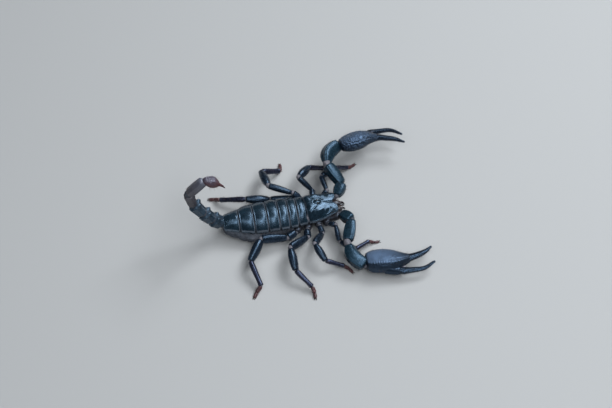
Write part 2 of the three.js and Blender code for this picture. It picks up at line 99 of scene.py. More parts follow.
def chance(cells, seed):
    """Three even random numbers from 0 to 1 for each whole-number cell, always the same."""
    x, y, z = (cells[..., k].astype(np.int64) for k in range(3))
    mix = (x * 73856093 ^ y * 19349663 ^ z * 83492791 ^ (seed * 2654435761)) & 0x7FFFFFFF
    numbers = []
    for salt in (1, 2, 3):
        mix = (mix * 1103515245 + 12345 * salt) & 0x7FFFFFFF
        mix = mix ^ (mix >> 13)
        numbers.append((mix & 0xFFFF) / 65535.0)
    return np.stack(numbers, -1)


def grains(spots, size, seed=1):
    """Height from 0 to 1 of rounded grains about that size, as on shagreen."""
    q = spots / size
    base = np.floor(q).astype(np.int64)
    best = np.full(q.shape[:-1], 9.0)
    for step in product((-1, 0, 1), repeat=3):
        cell = base + np.array(step)
        best = np.minimum(best, ((q - cell - 0.1 - 0.8 * chance(cell, seed)) ** 2).sum(-1))
    return held(1 - best * 2.6)


def swells(spots, size, seed=1):
    """Soft uneven height from 0 to 1, with lumps about that size."""
    q = spots / size
    base = np.floor(q).astype(np.int64)
    u = q - base
    u = u * u * (3 - 2 * u)
    total = np.zeros(q.shape[:-1])
    for step in product((0, 1), repeat=3):
        weight = np.prod([u[..., k] if step[k] else 1 - u[..., k] for k in range(3)], axis=0)
        total += weight * chance(base + np.array(step), seed)[..., 0]
    return total


def right_way_out(spots, faces):
    """The faces all turned to face outwards. A face of three corners has -1 as its fourth."""
    a, b, c, d = (spots[faces[:, k]] for k in range(4))
    four = faces[:, 3] >= 0
    volume = (a * np.cross(b, c)).sum() + (a * np.cross(c, d))[four].sum()
    if volume < 0:
        faces = np.where(faces[:, 3:] < 0, faces[:, [2, 1, 0, 3]], faces[:, [3, 2, 1, 0]])
    return faces


def plate(top, floor):
    """A closed plate from its upper and its lower grid, which are of the same size."""
    n, m = top.shape[:2]
    spots = np.vstack([top.reshape(-1, 3), floor.reshape(-1, 3)])
    i, j = (g.ravel() for g in np.meshgrid(np.arange(n - 1), np.arange(m - 1), indexing="ij"))
    quads = np.stack([i * m + j, (i + 1) * m + j, (i + 1) * m + j + 1, i * m + j + 1], -1)
    edge = np.concatenate([np.arange(n) * m, (n - 1) * m + np.arange(1, m),
                           np.arange(n - 2, -1, -1) * m + m - 1, np.arange(m - 2, 0, -1)])
    ahead = np.roll(edge, -1)
    wall = np.stack([ahead, edge, edge + n * m, ahead + n * m], -1)
    faces = np.vstack([quads, quads[:, ::-1] + n * m, wall])
    return spots, right_way_out(spots, faces)


def make(name, part, finish, nodes=(), pale=None):
    """Makes a piece of spots and faces at its place over the waist, in place of its CAD nodes.
    pale, from 0 to 1 at each spot, is how far the piece there takes its pale colour: pale joints and
    rims (on the back plates partly painted highlight), and painted highlight on the palms, the sting
    bulb and the first tail rings' upper far edges."""
    spots, faces = part
    mesh = bpy.data.meshes.new(name)
    corners = faces[faces >= 0].astype(np.int32)
    sizes = np.where(faces[:, 3] < 0, 3, 4)
    mesh.vertices.add(len(spots))
    mesh.vertices.foreach_set("co", ((spots + waist) * 0.001).astype(np.float32).ravel())
    mesh.loops.add(len(corners))
    mesh.loops.foreach_set("vertex_index", corners)
    mesh.polygons.add(len(faces))
    mesh.polygons.foreach_set("loop_start", (np.cumsum(sizes) - sizes).astype(np.int32))
    mesh.update(calc_edges=True)
    mesh.validate()
    mesh.shade_smooth()
    if pale is not None:
        shades = mesh.attributes.new("pale", "FLOAT", "POINT").data
        shades.foreach_set("value", pale.astype(np.float32).ravel())
    mesh.materials.append(finish)
    piece = bpy.data.objects.new(name, mesh)
    bpy.context.scene.collection.objects.link(piece)
    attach(piece, "root")
    if nodes:
        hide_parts(*nodes)
    return piece


def add_node(kind, sockets, **settings):
    """A new node beside those that it is linked from. Each socket gets a number, colour or link."""
    tree = next(value.id_data for value in sockets.values() if isinstance(value, bpy.types.NodeSocket))
    node = tree.nodes.new(f"ShaderNode{kind}")
    for key, value in settings.items():
        setattr(node, key, value)
    for socket, value in sockets.items():
        if isinstance(value, bpy.types.NodeSocket):
            tree.links.new(value, node.inputs[socket])
        else:
            node.inputs[socket].default_value = value
    return node


def finish_of(name, colour, roughness, specular=0.5, tint=(1, 1, 1)):
    """A new material: itself, its shader, and a place in millimetres for its textures."""
    material = bpy.data.materials.new(name)
    material.use_nodes = True
    shader = material.node_tree.nodes["Principled BSDF"]
    for socket, value in (("Base Color", (*colour, 1)), ("Roughness", roughness),
                          ("Specular IOR Level", specular), ("Specular Tint", (*tint, 1))):
        shader.inputs[socket].default_value = value
    where = material.node_tree.nodes.new("ShaderNodeTexCoord").outputs["Object"]
    place = add_node("VectorMath", {0: where, 1: (1000, 1000, 1000)}, operation="MULTIPLY").outputs[0]
    return material, shader, place


def noise_of(place, size, detail=3.0):
    """Cloudy noise from 0 to 1, with clouds about that many millimetres wide."""
    return add_node("TexNoise", {"Vector": place, "Scale": 1 / size, "Detail": detail}).outputs["Fac"]


def cells_of(place, size):
    """How far each place is from the middle of its cell; cells are about that many millimetres wide."""
    return add_node("TexVoronoi", {"Vector": place, "Scale": 1 / size}).outputs["Distance"]


def ramp_of(value, low, dark, high, light):
    """A colour that turns from dark to light as the value goes from low to high."""
    node = add_node("ValToRGB", {"Fac": value})
    for stop, at, colour in zip(node.color_ramp.elements, (low, high), (dark, light)):
        stop.position = at
        stop.color = (*colour, 1)
    return node.outputs["Color"]


def span_of(value, low, high, start=0.0, stop=1.0):
    """The value, taken from between start and stop to between low and high."""
    return add_node("MapRange", {"Value": value, 1: start, 2: stop, 3: low, 4: high}).outputs["Result"]


def math_of(kind, one, two):
    """The sum, difference or product of two values."""
    return add_node("Math", {0: one, 1: two}, operation=kind).outputs["Value"]


def mixed(share, one, two):
    """A colour between one and two."""
    return add_node("Mix", {0: share, 6: one, 7: two}, data_type="RGBA").outputs[2]


def pale_of(place):
    """How pale each spot of the piece was made, from 0 to 1."""
    node = place.id_data.nodes.new("ShaderNodeAttribute")
    node.attribute_name = "pale"
    return node.outputs["Fac"]


def paint(shader, colour, roughness, height, depth):
    """Gives the shader its colour and roughness, and bumps of that depth in millimetres."""
    bump = add_node("Bump", {"Height": height, "Distance": depth * 0.001}).outputs["Normal"]
    for socket, value in (("Base Color", colour), ("Roughness", roughness), ("Normal", bump)):
        shader.id_data.links.new(value, shader.inputs[socket])


def shell_finish(name, dark, light, pale_tone, grain, depth, gloss, tint=(0.46, 0.71, 1)):
    """Hard shell: cloudy dark colour, finely pitted gloss, and the pale tone where it is pale, which on
    the palms, the sting bulb and the first tail rings is a painted highlight. grain is the width of the
    pits, depth that of the relief, and tint the colour of the gloss."""
    material, shader, place = finish_of(name, light, gloss[0], 0.8, tint)
    clouds = ramp_of(noise_of(place, 2.6, 4), 0.32, dark, 0.68, light)
    specks = span_of(noise_of(place, 0.35, 2), 0, 0.3, 0.48, 0.75)
    speckled = mixed(specks, clouds, (*(c * 1.6 + 0.002 for c in light), 1))
    rough = span_of(noise_of(place, 0.9, 3), *gloss, 0.3, 0.7)
    pits = math_of("MULTIPLY", cells_of(place, grain), 0.6)
    paint(shader, mixed(pale_of(place), speckled, (*pale_tone, 1)), rough,
          math_of("SUBTRACT", noise_of(place, 1.1, 2), pits), depth)
    return material


back_shell = shell_finish("back_shell", (0.003, 0.008, 0.013), (0.007, 0.018, 0.028), (0.13, 0.15, 0.18),
                         0.28, 0.014, (0.21, 0.33))

SHIELD_LENGTH = 15.2
SHIELD_TURN = math.radians(4)
SHIELD_RIM = 7.3
SHIELD_TOP = 11.8
SHIELD_HALF = [(0, 7.4), (0.15, 7.8), (0.45, 7.3), (0.75, 6.3), (1, 5.7)]
EYES = np.array([6.0, 0.85, 12.5])


def grid(rows, columns):
    """Over a plate: the share of its length, from 0 to 1, and of its half width, from -1 to 1."""
    return np.meshgrid(np.linspace(0, 1, rows), np.linspace(-1, 1, columns), indexing="ij")


def shield_height(x, y):
    """Level of the shield's top at x and y, of its rim, and the shares of half width and length."""
    out = np.abs(y)
    s = held(x / SHIELD_LENGTH)
    v = held(out / eased(SHIELD_HALF, s))
    rim = SHIELD_RIM + 2.2 * np.maximum(s - 0.3, 0) ** 1.3
    # The flat top ends at a wavy crease, past which the flank falls to the rim.
    crease = 0.50 + 0.16 * s - 0.09 * hill(x - 8.2, 1) - 0.08 * hill(x - 3.6, 1) + 0.05 * hill(x - 5.9, 1)
    fall = np.clip((v - crease) / (1 - crease), -1, 1)
    fall = 0.5 * (fall + np.sqrt(fall**2 + 0.006)) / (0.5 * (1 + math.sqrt(1.006)))
    top = SHIELD_TOP + 1.0 - 3.1 * s - 0.1 * s**3
    z = rim + 0.55 + (top - rim) * (1 - fall**1.25) - 0.25 * v**2 * (1 - v)
    # The boss under the eyes, the hollow between the lobes, and the dips along the rear edge.
    z += 0.8 * hill(x - EYES[0], 2.1) * hill(y, 1.2)
    z -= 0.9 * hill(y, 0.8) * np.maximum(s - 0.6, 0)
    z -= 1.0 * hill(x, 1.3) * hill(out - 1.3, 1.2) + 0.9 * hill(x, 1.1)
    # The furrow along the middle, before and behind the boss, and the one round it.
    z -= 0.34 * hill(y, 0.30) * held((s - 0.5) * 5)
    z -= 0.20 * hill(y, 0.28) * held((0.32 - s) * 6)
    z -= 0.18 * hill(np.hypot((x - EYES[0]) / 1.5, y / 1.15) - 1.25, 0.28)
    # The furrows that spread to the rear corners, the dents in the lobes, and the groove in the margin.
    spread = 1.7 + 3.9 * held(1 - s / 0.36)
    z -= 0.20 * hill(out - spread, 0.5) * held((0.40 - s) * 8)
    z -= 0.45 * hill(x - 11.0 + 0.25 * (out - 3) ** 2, 0.9) * hill(out - 4.6, 1.2)
    z -= 0.22 * hill(v - 0.92, 0.03)
    return z, rim, v, s


def turned(spots):
    """Spots of the head, turned with the shield."""
    c, d = math.cos(SHIELD_TURN), math.sin(SHIELD_TURN)
    return spots @ np.array([[c, d, 0], [-d, c, 0], [0, 0, 1]])


def head_shield():
    """The shield as a plate, and how pale each of its spots is: along the side margins and the rear edge."""
    u, w = grid(140, 180)
    w = np.sign(w) * (1 - (1 - np.abs(w)) ** 1.3)
    y = w * eased(SHIELD_HALF, u) * (1 - 0.04 * u**8)
    lobes = 2.0 * hill(w, 0.28) + 0.8 * np.abs(w) ** 6
    back = -0.05 + 0.5 * hill(w, 0.25) + 0.6 * held((np.abs(w) - 0.55) / 0.45) ** 1.5
    x = back + u * (SHIELD_LENGTH - back - lobes * u**3)
    z, rim, v, s = shield_height(x, y)
    top = np.stack([x, y, z], -1)
    rough = held((v - 0.72) * 3.5) + 0.7 * held((s - 0.86) * 8) + 0.05
    top[..., 2] += 0.13 * rough * grains(top, 0.5, 3) + 0.07 * (swells(top, 2.6, 5) - 0.5)
    border = np.minimum(np.minimum(u, 1 - u) * (SHIELD_LENGTH - 2), (1 - np.abs(w)) * 6.5)
    top[..., 2] -= 0.5 * held(1 - border / 0.3) ** 2
    floor = top.copy()
    floor[..., 2] = np.minimum(rim, top[..., 2] - 0.3)
    pale_tone = 0.55 * hill(border - 0.12, 0.14) * (np.abs(w) > 0.9) + 0.5 * hill(u * 14 - 0.15, 0.16)
    return plate(turned(top), turned(floor)), np.tile(pale_tone.ravel(), 2)


shield, pale_tone = head_shield()
make("head_shield", shield, back_shell, ["carapace"], pale_tone)

# ---- Eyes ----
# Two round middle eyes on the boss and three small ones at each front corner of the shield.
# Each is a clear dome of cuticle over black, seated in the shell and always wet-looking.


def cloudy_finish(name, dark, light, specular, rough, sizes, depth, lumps=noise_of):
    """Plain stuff, uneven in colour, gloss and height by clouds of those three sizes in turn."""
    material, shader, place = finish_of(name, light, rough[0], specular)
    paint(shader, ramp_of(noise_of(place, sizes[0]), 0.3, dark, 0.7, light),
          span_of(noise_of(place, sizes[1]), *rough), lumps(place, sizes[2]), depth)
    return material


eye_glass = cloudy_finish("eye_glass", (0.002, 0.003, 0.005), (0.014, 0.011, 0.010), 0.8, (0.03, 0.09),
                          (0.5, 0.2, 0.3), 0.002)


def smooth_line(points):
    """A smooth line through the points: its spots and how far along each one lies."""
    p = np.asarray(points, float)
    p = np.vstack([2 * p[0] - p[1], p, 2 * p[-1] - p[-2]])
    u = np.linspace(0, 1, 24, endpoint=False)[:, None]
    spots = []
    for a, b, c, d in zip(p, p[1:], p[2:], p[3:]):
        g = [math.sqrt(max(np.linalg.norm(y - x), 1e-6)) for x, y in ((a, b), (b, c), (c, d))]
        leave = ((b - a) / g[0] - (c - a) / (g[0] + g[1]) + (c - b) / g[1]) * g[1]
        reach = ((c - b) / g[1] - (d - b) / (g[1] + g[2]) + (d - c) / g[2]) * g[1]
        spots.append(curve(b, leave, c, reach, u))
    spots = np.vstack(spots + [p[-2][None]])
    far = np.concatenate([[0], np.cumsum(np.linalg.norm(np.diff(spots, axis=0), axis=1))])
    return spots, far


def unit(vectors):
    """The vectors at a length of 1."""
    return vectors / np.maximum(np.linalg.norm(vectors, axis=-1, keepdims=True), 1e-9)


def outward_of(rings):
    """The outward direction at each spot of a grid of closed rings."""
    way = unit(np.cross(np.roll(rings, -1, 1) - np.roll(rings, 1, 1), np.gradient(rings, axis=0)))
    out = np.sign(((rings - rings.mean(1, keepdims=True)) * way).sum(-1))
    return way * np.where(np.median(out) < 0, -1, 1)


def limb_rings(points, girths, sides=24, rings=24, lean=0.0, side=None, square=2.0, ends=(1.0, 1.0),
               relief=None):
    """The rings of a limb along a line. Girths are (share, half width, height, depth). lean turns them
    round the line in degrees, side is the way that their width lies, square is 2 for an ellipse and
    more for a squarer limb, and ends are the lengths over which the two ends are rounded off.
    relief(t, a, spots) raises the shell: t is the share along, a the angle from the side to the top."""
    spots, far = smooth_line(points)
    # The rings stand closer together towards both ends, where the limb is rounded off.
    share = np.linspace(0, 1, rings + 1)
    t = 0.55 * share + 0.45 * (1 - np.cos(np.pi * share)) / 2
    s = t * far[-1]
    centre = np.stack([np.interp(s, far, spots[:, k]) for k in range(3)], 1)
    ways = unit(np.gradient(spots, axis=0))
    along = unit(np.stack([np.interp(s, far, ways[:, k]) for k in range(3)], 1))
    across = np.cross((0, 0, 1), along) if side is None else np.tile(np.array(side, float), (rings + 1, 1))
    across = unit(across - along * (across * along).sum(1, keepdims=True))
    up = np.cross(along, across)
    c, d = math.cos(math.radians(lean)), math.sin(math.radians(lean))
    across, up = across * c + up * d, up * c - across * d
    half, over, under = eased(girths, t).T
    near = held(np.minimum(s / ends[0], (far[-1] - s) / ends[1]))
    rounding = np.sqrt(1 - (1 - near) ** 2)[:, None]
    a = 2 * np.pi * np.arange(sides) / sides
    ca, sa = np.cos(a), np.sin(a)
    fill = (np.abs(ca) ** square + np.abs(sa) ** square) ** (-1 / square)
    height = np.where(sa[None] > 0, over[:, None], under[:, None])
    skin = (centre[:, None] + across[:, None] * (half[:, None] * ca * fill * rounding)[..., None]
            + up[:, None] * (height * sa * fill * rounding)[..., None])
    if relief is not None:
        rise = relief(t[:, None], a[None], skin) * held(rounding * 1.5)
        rise[0] = rise[-1] = 0
        skin = skin + outward_of(skin) * rise[..., None]
    return skin


def closed(skin):
    """Spots and faces of rings that come to a point at both ends."""
    rings, sides = skin.shape[0] - 1, skin.shape[1]
    inner = skin[1:-1].reshape(-1, 3)
    spots = np.vstack([inner, skin[0].mean(0), skin[-1].mean(0)])
    i, j = (g.ravel() for g in np.meshgrid(np.arange(rings - 2), np.arange(sides), indexing="ij"))
    n = (j + 1) % sides
    body = np.stack([i * sides + j, (i + 1) * sides + j, (i + 1) * sides + n, i * sides + n], -1)
    k = np.arange(sides)
    m = (k + 1) % sides
    none = np.full(sides, -1)
    foot = (rings - 2) * sides
    start = np.stack([np.full(sides, len(inner)), k, m, none], 1)
    stop = np.stack([np.full(sides, len(inner) + 1), foot + m, foot + k, none], 1)
    return spots, right_way_out(spots, np.vstack([body, start, stop]))


def limb(points, girths, **shape):
    """A closed limb: its spots and faces."""
    return closed(limb_rings(points, girths, **shape))


def joined(parts):
    """Several parts as one."""
    starts = np.cumsum([0] + [len(spots) for spots, _ in parts])
    faces = [np.where(f < 0, -1, f + start) for (_, f), start in zip(parts, starts)]
    return np.vstack([spots for spots, _ in parts]), np.vstack(faces)


def even(*girths):
    """Girths of a round limb from (share, radius)."""
    return [(t, r, r, r) for t, r in girths]


def ball(centre, radius, sides):
    """A round ball, drawn as a short limb."""
    reach = np.array([0, 0, radius])
    return limb([centre - reach, centre + reach], even((0, radius), (1, radius)), sides=sides, rings=sides,
                side=(1, 0, 0), ends=(radius, radius))


SIDES = (("left", 1), ("right", -1))
for name, side in SIDES:
    make(f"middle_eye_{name}", ball(turned(EYES * (1, side, 1)), 0.5, 32), eye_glass,
         [f"eye_{name}"])
    small = []
    for x, out in ((13.3, 0.80), (12.4, 0.86), (11.5, 0.90)):
        y = side * out * float(eased(SHIELD_HALF, x / SHIELD_LENGTH))
        z = float(shield_height(np.array(x), np.array(y))[0])
        small.append(ball(turned(np.array([x, y, z])), 0.27, 16))
    make(f"side_eyes_{name}", joined(small), eye_glass)

# ---- Back plates ----
# Seven hard domes over the abdomen, each tucked at its front under the one before. Every plate
# is arched from front to rear, smooth and glossy, with a thin pale rim along front and sides that is
# partly a pale margin and partly a painted highlight on the rounded edges.

TRUNK_LENGTH = 38.6
PLATE_LENGTHS = [3.9, 4.1, 4.6, 5.4, 6.2, 6.8, 7.6]
PLATE_RIM = 7.6
PLATE_HALF = [(0, 7.7), (0.2, 8.5), (0.5, 8.5), (0.65, 7.9), (0.8, 6.3), (1, 3.9)]
PLATE_CREST = [(0, 12.2), (0.4, 12.8), (0.75, 12.6), (0.9, 11.9), (1, 10.9)]


def back_plate(front, length, first, last):
    """One plate, and how pale each of its spots is, its rim partly a pale margin and partly painted
    highlight: front is where it starts, first and last say whether it is the first or the last one."""
    u, v = grid(76, 136)
    out = np.abs(v)
    corner = held((out - 0.82) / 0.18) ** 2.2 * (-1.7 if last else -1.2)
    x = front - 0.1 - u * (length - 0.18) + corner * (0.5 - u)
    if first:
        x += 0.7 * (1 - u)
    share = held(-x / TRUNK_LENGTH)
    y = v * eased(PLATE_HALF, share)
    crest = eased(PLATE_CREST, share) - (1.0 if first else 0.45) * (1 - u) ** 3 - 0.1
    z = PLATE_RIM + (crest - PLATE_RIM) * (1 - out**2.15) ** 0.93
    # Each plate is arched along its length, with a groove behind its front edge, a thickened
    # rear edge and a shallow dent on each side of the middle.
    z += (0.62 * (1 - np.abs(2 * u - 1.05) ** 2.2) - 0.2) * (0.95 - 0.85 * hill(v, 0.32) - 0.35 * v**2)
    z -= 0.10 * hill(u * length - (1.1 if first else 0.75), 0.16)
    z += 0.10 * hill((1 - u) * length - 0.3, 0.22) - 0.10 * hill((1 - u) * length - 0.8, 0.22)
    z -= 0.06 * hill(np.abs(y) - 2.6 - 0.5 * (u - 0.5), 0.9) * hill(u - 0.5, 0.3)
    if last:
        for place in (1.7, 3.6):
            keel = hill(np.abs(y) - place * (1 - 0.12 * u), 0.3) * held((u - 0.25) * 3)
            z += 0.28 * keel * (0.55 + 0.45 * np.cos(u * length * 8))
    top = np.stack([x, y, z], -1)
    rough = 0.2 + 0.8 * held((out - 0.6) * 3) + (0.5 * u if last else 0)
    top[..., 2] += 0.06 * rough * grains(top, 0.5, 11) + 0.06 * (swells(top, 3.2, 7) - 0.5)
    border = np.minimum(np.minimum(u, 1 - u) * length, (1 - out) * 7)
    top[..., 2] -= 0.45 * held(1 - border / 0.32) ** 2
    floor = top.copy()
    floor[..., 2] -= 0.35 + 0.3 * np.clip(1 - out, 0, 0.3)
    # The pale rim is partly a pale margin and partly a painted highlight on the rounded front and side edges.
    pale_tone = 0.9 * hill(border - 0.22, 0.17) * (1 - 0.45 * (u > 0.5) * (out < 0.93))
    pale_tone = held(pale_tone * (0.6 + 0.7 * swells(top, 1.3, 9)))
    return plate(top, floor), np.tile(pale_tone.ravel(), 2)


front = 0.0
for i, length in enumerate(PLATE_LENGTHS):
    part, pale_tone = back_plate(front, length, i == 0, i == 6)
    make(f"back_plate_{i + 1}", part, back_shell, [f"tergite_{i + 1}"], pale_tone)
    front -= length

# ---- Jaws ----
# A pair of small stout jaws out under the shield's front edge. Each has a swollen brown base, a
# fixed inner finger and a moving outer one, both toothed and dark at their tips.

jaw_shell = shell_finish("jaw_shell", (0.006, 0.005, 0.006), (0.018, 0.013, 0.012), (0.12, 0.10, 0.09),
                         0.2, 0.015, (0.3, 0.42), (0.75, 0.8, 0.9))
jaw_tip = shell_finish("jaw_tip", (0.006, 0.004, 0.004), (0.016, 0.008, 0.006), (0.1, 0.07, 0.05),
                       0.2, 0.01, (0.2, 0.3), (0.6, 0.65, 0.75))
# Of each limb with bristles: its rings, their number, shortest and longest length and lean, and the
# shares along it and the angles round it between which they stand.
bristle_roots = []


def heading(yaw, pitch):
    """The way a length points: yaw turns from the head towards the animal's left, pitch rises."""
    turn, rise = math.radians(yaw), math.radians(pitch)
    return np.array([math.cos(rise) * math.cos(turn), math.cos(rise) * math.sin(turn), math.sin(rise)])


def spike(root, way, length, radius, sides=8):
    """A tooth or spine."""
    root, way = np.array(root, float), unit(np.array(way, float))
    girth = even((0, radius), (0.5, radius * 0.7), (1, radius * 0.22))
    return limb([root, root + way * length * 0.5, root + way * length], girth, sides=sides, rings=6,
                side=(0.3, 0.9, 0.3), ends=(radius * 0.5, radius * 0.3))


def jaw_relief(t, a, spots):
    """Fine grain with soft unevenness."""
    return 0.05 * grains(spots, 0.4, 21) + 0.08 * (swells(spots, 1.2, 2) - 0.5)


JAW_BACK = 0.7
JAW_GIRTH = [(0, 1.1, 1.1, 1.1), (0.5, 1.42, 1.45, 1.5), (0.85, 1.25, 1.15, 1.3), (1, 1.0, 0.9, 1.0)]
for name, side in SIDES:
    def placed(*points):
        return [np.array([x - JAW_BACK, y * side, z]) for x, y, z in points]
    base = limb_rings(placed((12.6, 1.6, 6.6), (15.4, 1.65, 6.7), (18.0, 1.6, 6.1)), JAW_GIRTH, sides=60,
                      rings=60, square=2.4, ends=(0.8, 0.7), relief=jaw_relief)
    bristle_roots.append((base, 46, 0.5, 1.0, (1, 0, -0.5), (0.35, 0.98), (-100, 100)))
    make(f"jaw_{name}", closed(base), jaw_shell, [f"chelicera_{name}"])
    fixed_line = placed((17.2, 0.95, 6.3), (18.7, 0.75, 6.0), (19.7, 1.0, 5.2))
    moving_line = placed((17.2, 2.25, 6.0), (18.8, 2.5, 5.7), (20.0, 1.75, 4.85))
    fingers = [limb(line, even(*girth), sides=24, rings=30, ends=(0.4, 0.15))
               for line, girth in ((fixed_line, [(0, 0.62), (0.4, 0.5), (0.8, 0.32), (1, 0.12)]),
                                   (moving_line, [(0, 0.66), (0.4, 0.55), (0.8, 0.34), (1, 0.12)]))]
    for out, teeth in ((1, ((18.2, 1.2, 5.9), (18.8, 1.15, 5.7), (19.3, 1.25, 5.4))),
                       (-1, ((18.3, 2.1, 5.6), (18.9, 2.1, 5.4), (19.4, 1.95, 5.1)))):
        fingers += [spike(root, (0.3, out * side, -0.25), 0.42, 0.16) for root in placed(*teeth)]
    make(f"jaw_fingers_{name}", joined(fingers), jaw_tip)

# ---- Soft parts ----
# Folded cuticle joins every plate and length. Each section from here on adds its joints to this
# list, and one skin is drawn over them all further down.

SAC_HALF = [(0, 6.4), (0.12, 8.0), (0.35, 8.5), (0.58, 9.8), (0.7, 9.8), (0.84, 7.4), (1, 3.6)]
SAC_LEVEL = [(0, 4.2), (0.7, 4.2), (0.85, 4.9), (1, 6.4)]
SAC_DROP = [(0, 2.6), (0.3, 3.0), (0.7, 3.0), (1, 2.4)]
shares = np.array([0, 0.12, 0.3, 0.5, 0.68, 0.84, 1])
half, plate_half, plate_crest, drop = (
    eased(stations, shares) for stations in (SAC_HALF, PLATE_HALF, PLATE_CREST, SAC_DROP))
sac_line = [(-t * TRUNK_LENGTH, 0, float(eased(SAC_LEVEL, t))) for t in (0, 0.35, 0.7, 0.85, 1)]
back_line = [(-t * TRUNK_LENGTH, 0, 7.2) for t in (-0.05, 0.5, 0.98)]
head_girth = [(0, 6.2, 2.0, 2.0), (0.5, 6.0, 2.2, 2.0), (1, 4.8, 2.0, 1.6)]
waist_girth = [(0, 6.6, 2.6, 1.8), (1, 6.6, 2.4, 1.8)]
soft_parts = [
    limb(sac_line, np.stack([shares, half, np.full(7, 2.7), drop], 1), sides=90, rings=60, square=3,
         ends=(0.9, 0.9)),
    limb(back_line, np.stack([shares, plate_half - 1.1, plate_crest - 8.6, np.full(7, 2.0)], 1), sides=90,
         rings=60, square=2.5, ends=(0.8, 0.8)),
    limb([(-2, 0, 6.4), (6, 0, 6.6), (14.2, 0, 7.0)], head_girth, sides=60, rings=40, square=3),
    limb([(0.2, 0, 7.4), (2.2, 0, 7.6)], waist_girth, sides=60, rings=20, square=2.6, ends=(0.6, 0.6)),
]
pale_joints = []


def soft_joint(spot, before, after, radius, reach, pale=1.0):
    """Soft skin round a joint: in from the length before it and out into the one after."""
    spot = np.asarray(spot, float)
    line = [spot - unit(before) * reach, spot, spot + unit(after) * reach]
    girth = even((0, radius * 0.75), (0.5, radius), (1, radius * 0.75))
    soft_parts.append(limb(line, girth, sides=24, rings=16, ends=(0.5, 0.5)))
    pale_joints.append((*spot, max(radius * 1.7, 0.8), pale))


def soft_core(start, stop, radius):
    """The thin core inside a hard length, which keeps the skin in one piece."""
    girth = even((0, radius), (1, radius))
    soft_parts.append(limb([start, stop], girth, sides=12, rings=16, ends=(0.3, 0.3)))


for side in (1, -1):
    soft_core((11.0, 1.6 * side, 7.0), (14.5, 1.6 * side, 6.6), 1.0)
    pale_joints.append((13.0, 1.6 * side, 6.8, 1.6, 0.1))

# ---- Underside ----
# Two small plates at the middle, the hips of the eight legs fanned round them, and the large
# front hips of the pincers, all dull brown shell, packed edge to edge.

under_shell = shell_finish("under_shell", (0.008, 0.008, 0.010), (0.022, 0.020, 0.022), (0.10, 0.08, 0.08),
                           0.3, 0.02, (0.32, 0.46), (0.6, 0.75, 1))
HIPS = [(9.8, 7.6, 4.8), (5.4, 8.2, 5.2), (-0.4, 9.0, 5.0), (-5.8, 9.4, 4.8)]


def fine_grain(height, size=0.4, seed=1):
    """Relief of even grain with soft unevenness."""
    def relief(t, a, spots):
        return height * (grains(spots, size, seed) + 1.5 * (swells(spots, 2.0, seed) - 0.5))
    return relief


HIP_GIRTH = [(0, 1.25, 1.3, 1.3), (0.55, 1.95, 1.8, 1.8), (0.85, 1.75, 1.7, 1.7), (1, 1.35, 1.3, 1.3)]
hips = []
for side in (1, -1):
    for k, (x, y, z) in enumerate(HIPS):
        hip = np.array([x, y * side, z])
        inner = np.array([x * 0.55 + 2.2, 1.7 * side, 3.3])
        hips.append(limb([inner, inner * 0.45 + hip * 0.55, hip], HIP_GIRTH, sides=44, rings=44,
                         ends=(0.8, 0.7), square=2.3, relief=fine_grain(0.06, 0.5, 31 + k)))
# Of each of the two middle plates: its line, its girths, and the lengths of its rounded ends.
BREASTBONE = ([(0.6, 0, 3.0), (3.4, 0, 2.9)], [(0, 1.2, 0.7, 0.8), (0.4, 1.7, 0.7, 0.9), (1, 0.8, 0.7, 0.7)],
              (0.5, 0.7))
VENT_LID = ([(-1.6, 0, 2.6), (0.5, 0, 2.7)], [(0, 1.4, 0.6, 0.8), (0.5, 2.0, 0.7, 0.9), (1, 1.5, 0.6, 0.7)],
            (0.5, 0.5))
for line, girth, ends in (BREASTBONE, VENT_LID):
    hips.append(limb(line, girth, sides=40, rings=24, square=2.8, ends=ends, relief=fine_grain(0.04)))
# The two blunt lobes below the mouth.
for side in (1, -1):
    hips.append(limb([(7.0, 1.3 * side, 3.2), (10.6, 1.4 * side, 3.6), (13.4, 1.2 * side, 4.4)],
                     [(0, 0.9, 0.9, 0.8), (0.6, 1.2, 1.0, 0.9), (1, 0.7, 0.7, 0.6)], sides=36, rings=36,
                     ends=(0.6, 0.7), relief=fine_grain(0.04)))
make("hips_and_breast", joined(hips), under_shell, ["underside"])

for name, side in SIDES:
    line = np.array([(7.2, 4.0, 5.0), (11.5, 4.4, 5.6), (15.7, 5.15, 7.3)]) * (1, side, 1)
    girth = [(0, 1.4, 1.5, 1.6), (0.5, 2.1, 1.6, 2.25), (0.85, 2.0, 1.7, 2.1), (1, 1.6, 1.4, 1.7)]
    front_hip = limb_rings(line, girth, sides=60, rings=60, ends=(1.0, 0.9), square=2.4,
                           relief=fine_grain(0.08, 0.5, 41))
    make(f"pincer_hip_{name}", closed(front_hip), under_shell, [f"claw_{name}_coxa"])
    bristle_roots.append((front_hip, 30, 0.6, 1.2, (1, 0.3 * side, -0.3), (0.5, 0.98), (0, 360)))

# ---- Belly plates ----
# Five thin plates along the flat underside, let into the soft sac, brown and smooth, with a pair
# of breathing slits through each of the first four.

breath_dark = cloudy_finish("breath_dark", (0.003, 0.003, 0.003), (0.012, 0.009, 0.008), 0.2, (0.7, 0.9),
                            (0.3, 0.2, 0.2), 0.01)
BELLY_PLATES = [(-8.6, 5.4), (-14.2, 5.6), (-20.0, 5.8), (-26.0, 6.0), (-32.2, 5.6)]


def sac_floor(x, y):
    """Level of the soft belly's underside at x and y."""
    share = held(-x / TRUNK_LENGTH)
    reach = np.clip(np.abs(y) / eased(SAC_HALF, share), 0, 0.98)
    return eased(SAC_LEVEL, share) - eased(SAC_DROP, share) * (1 - reach**3) ** (1 / 3)


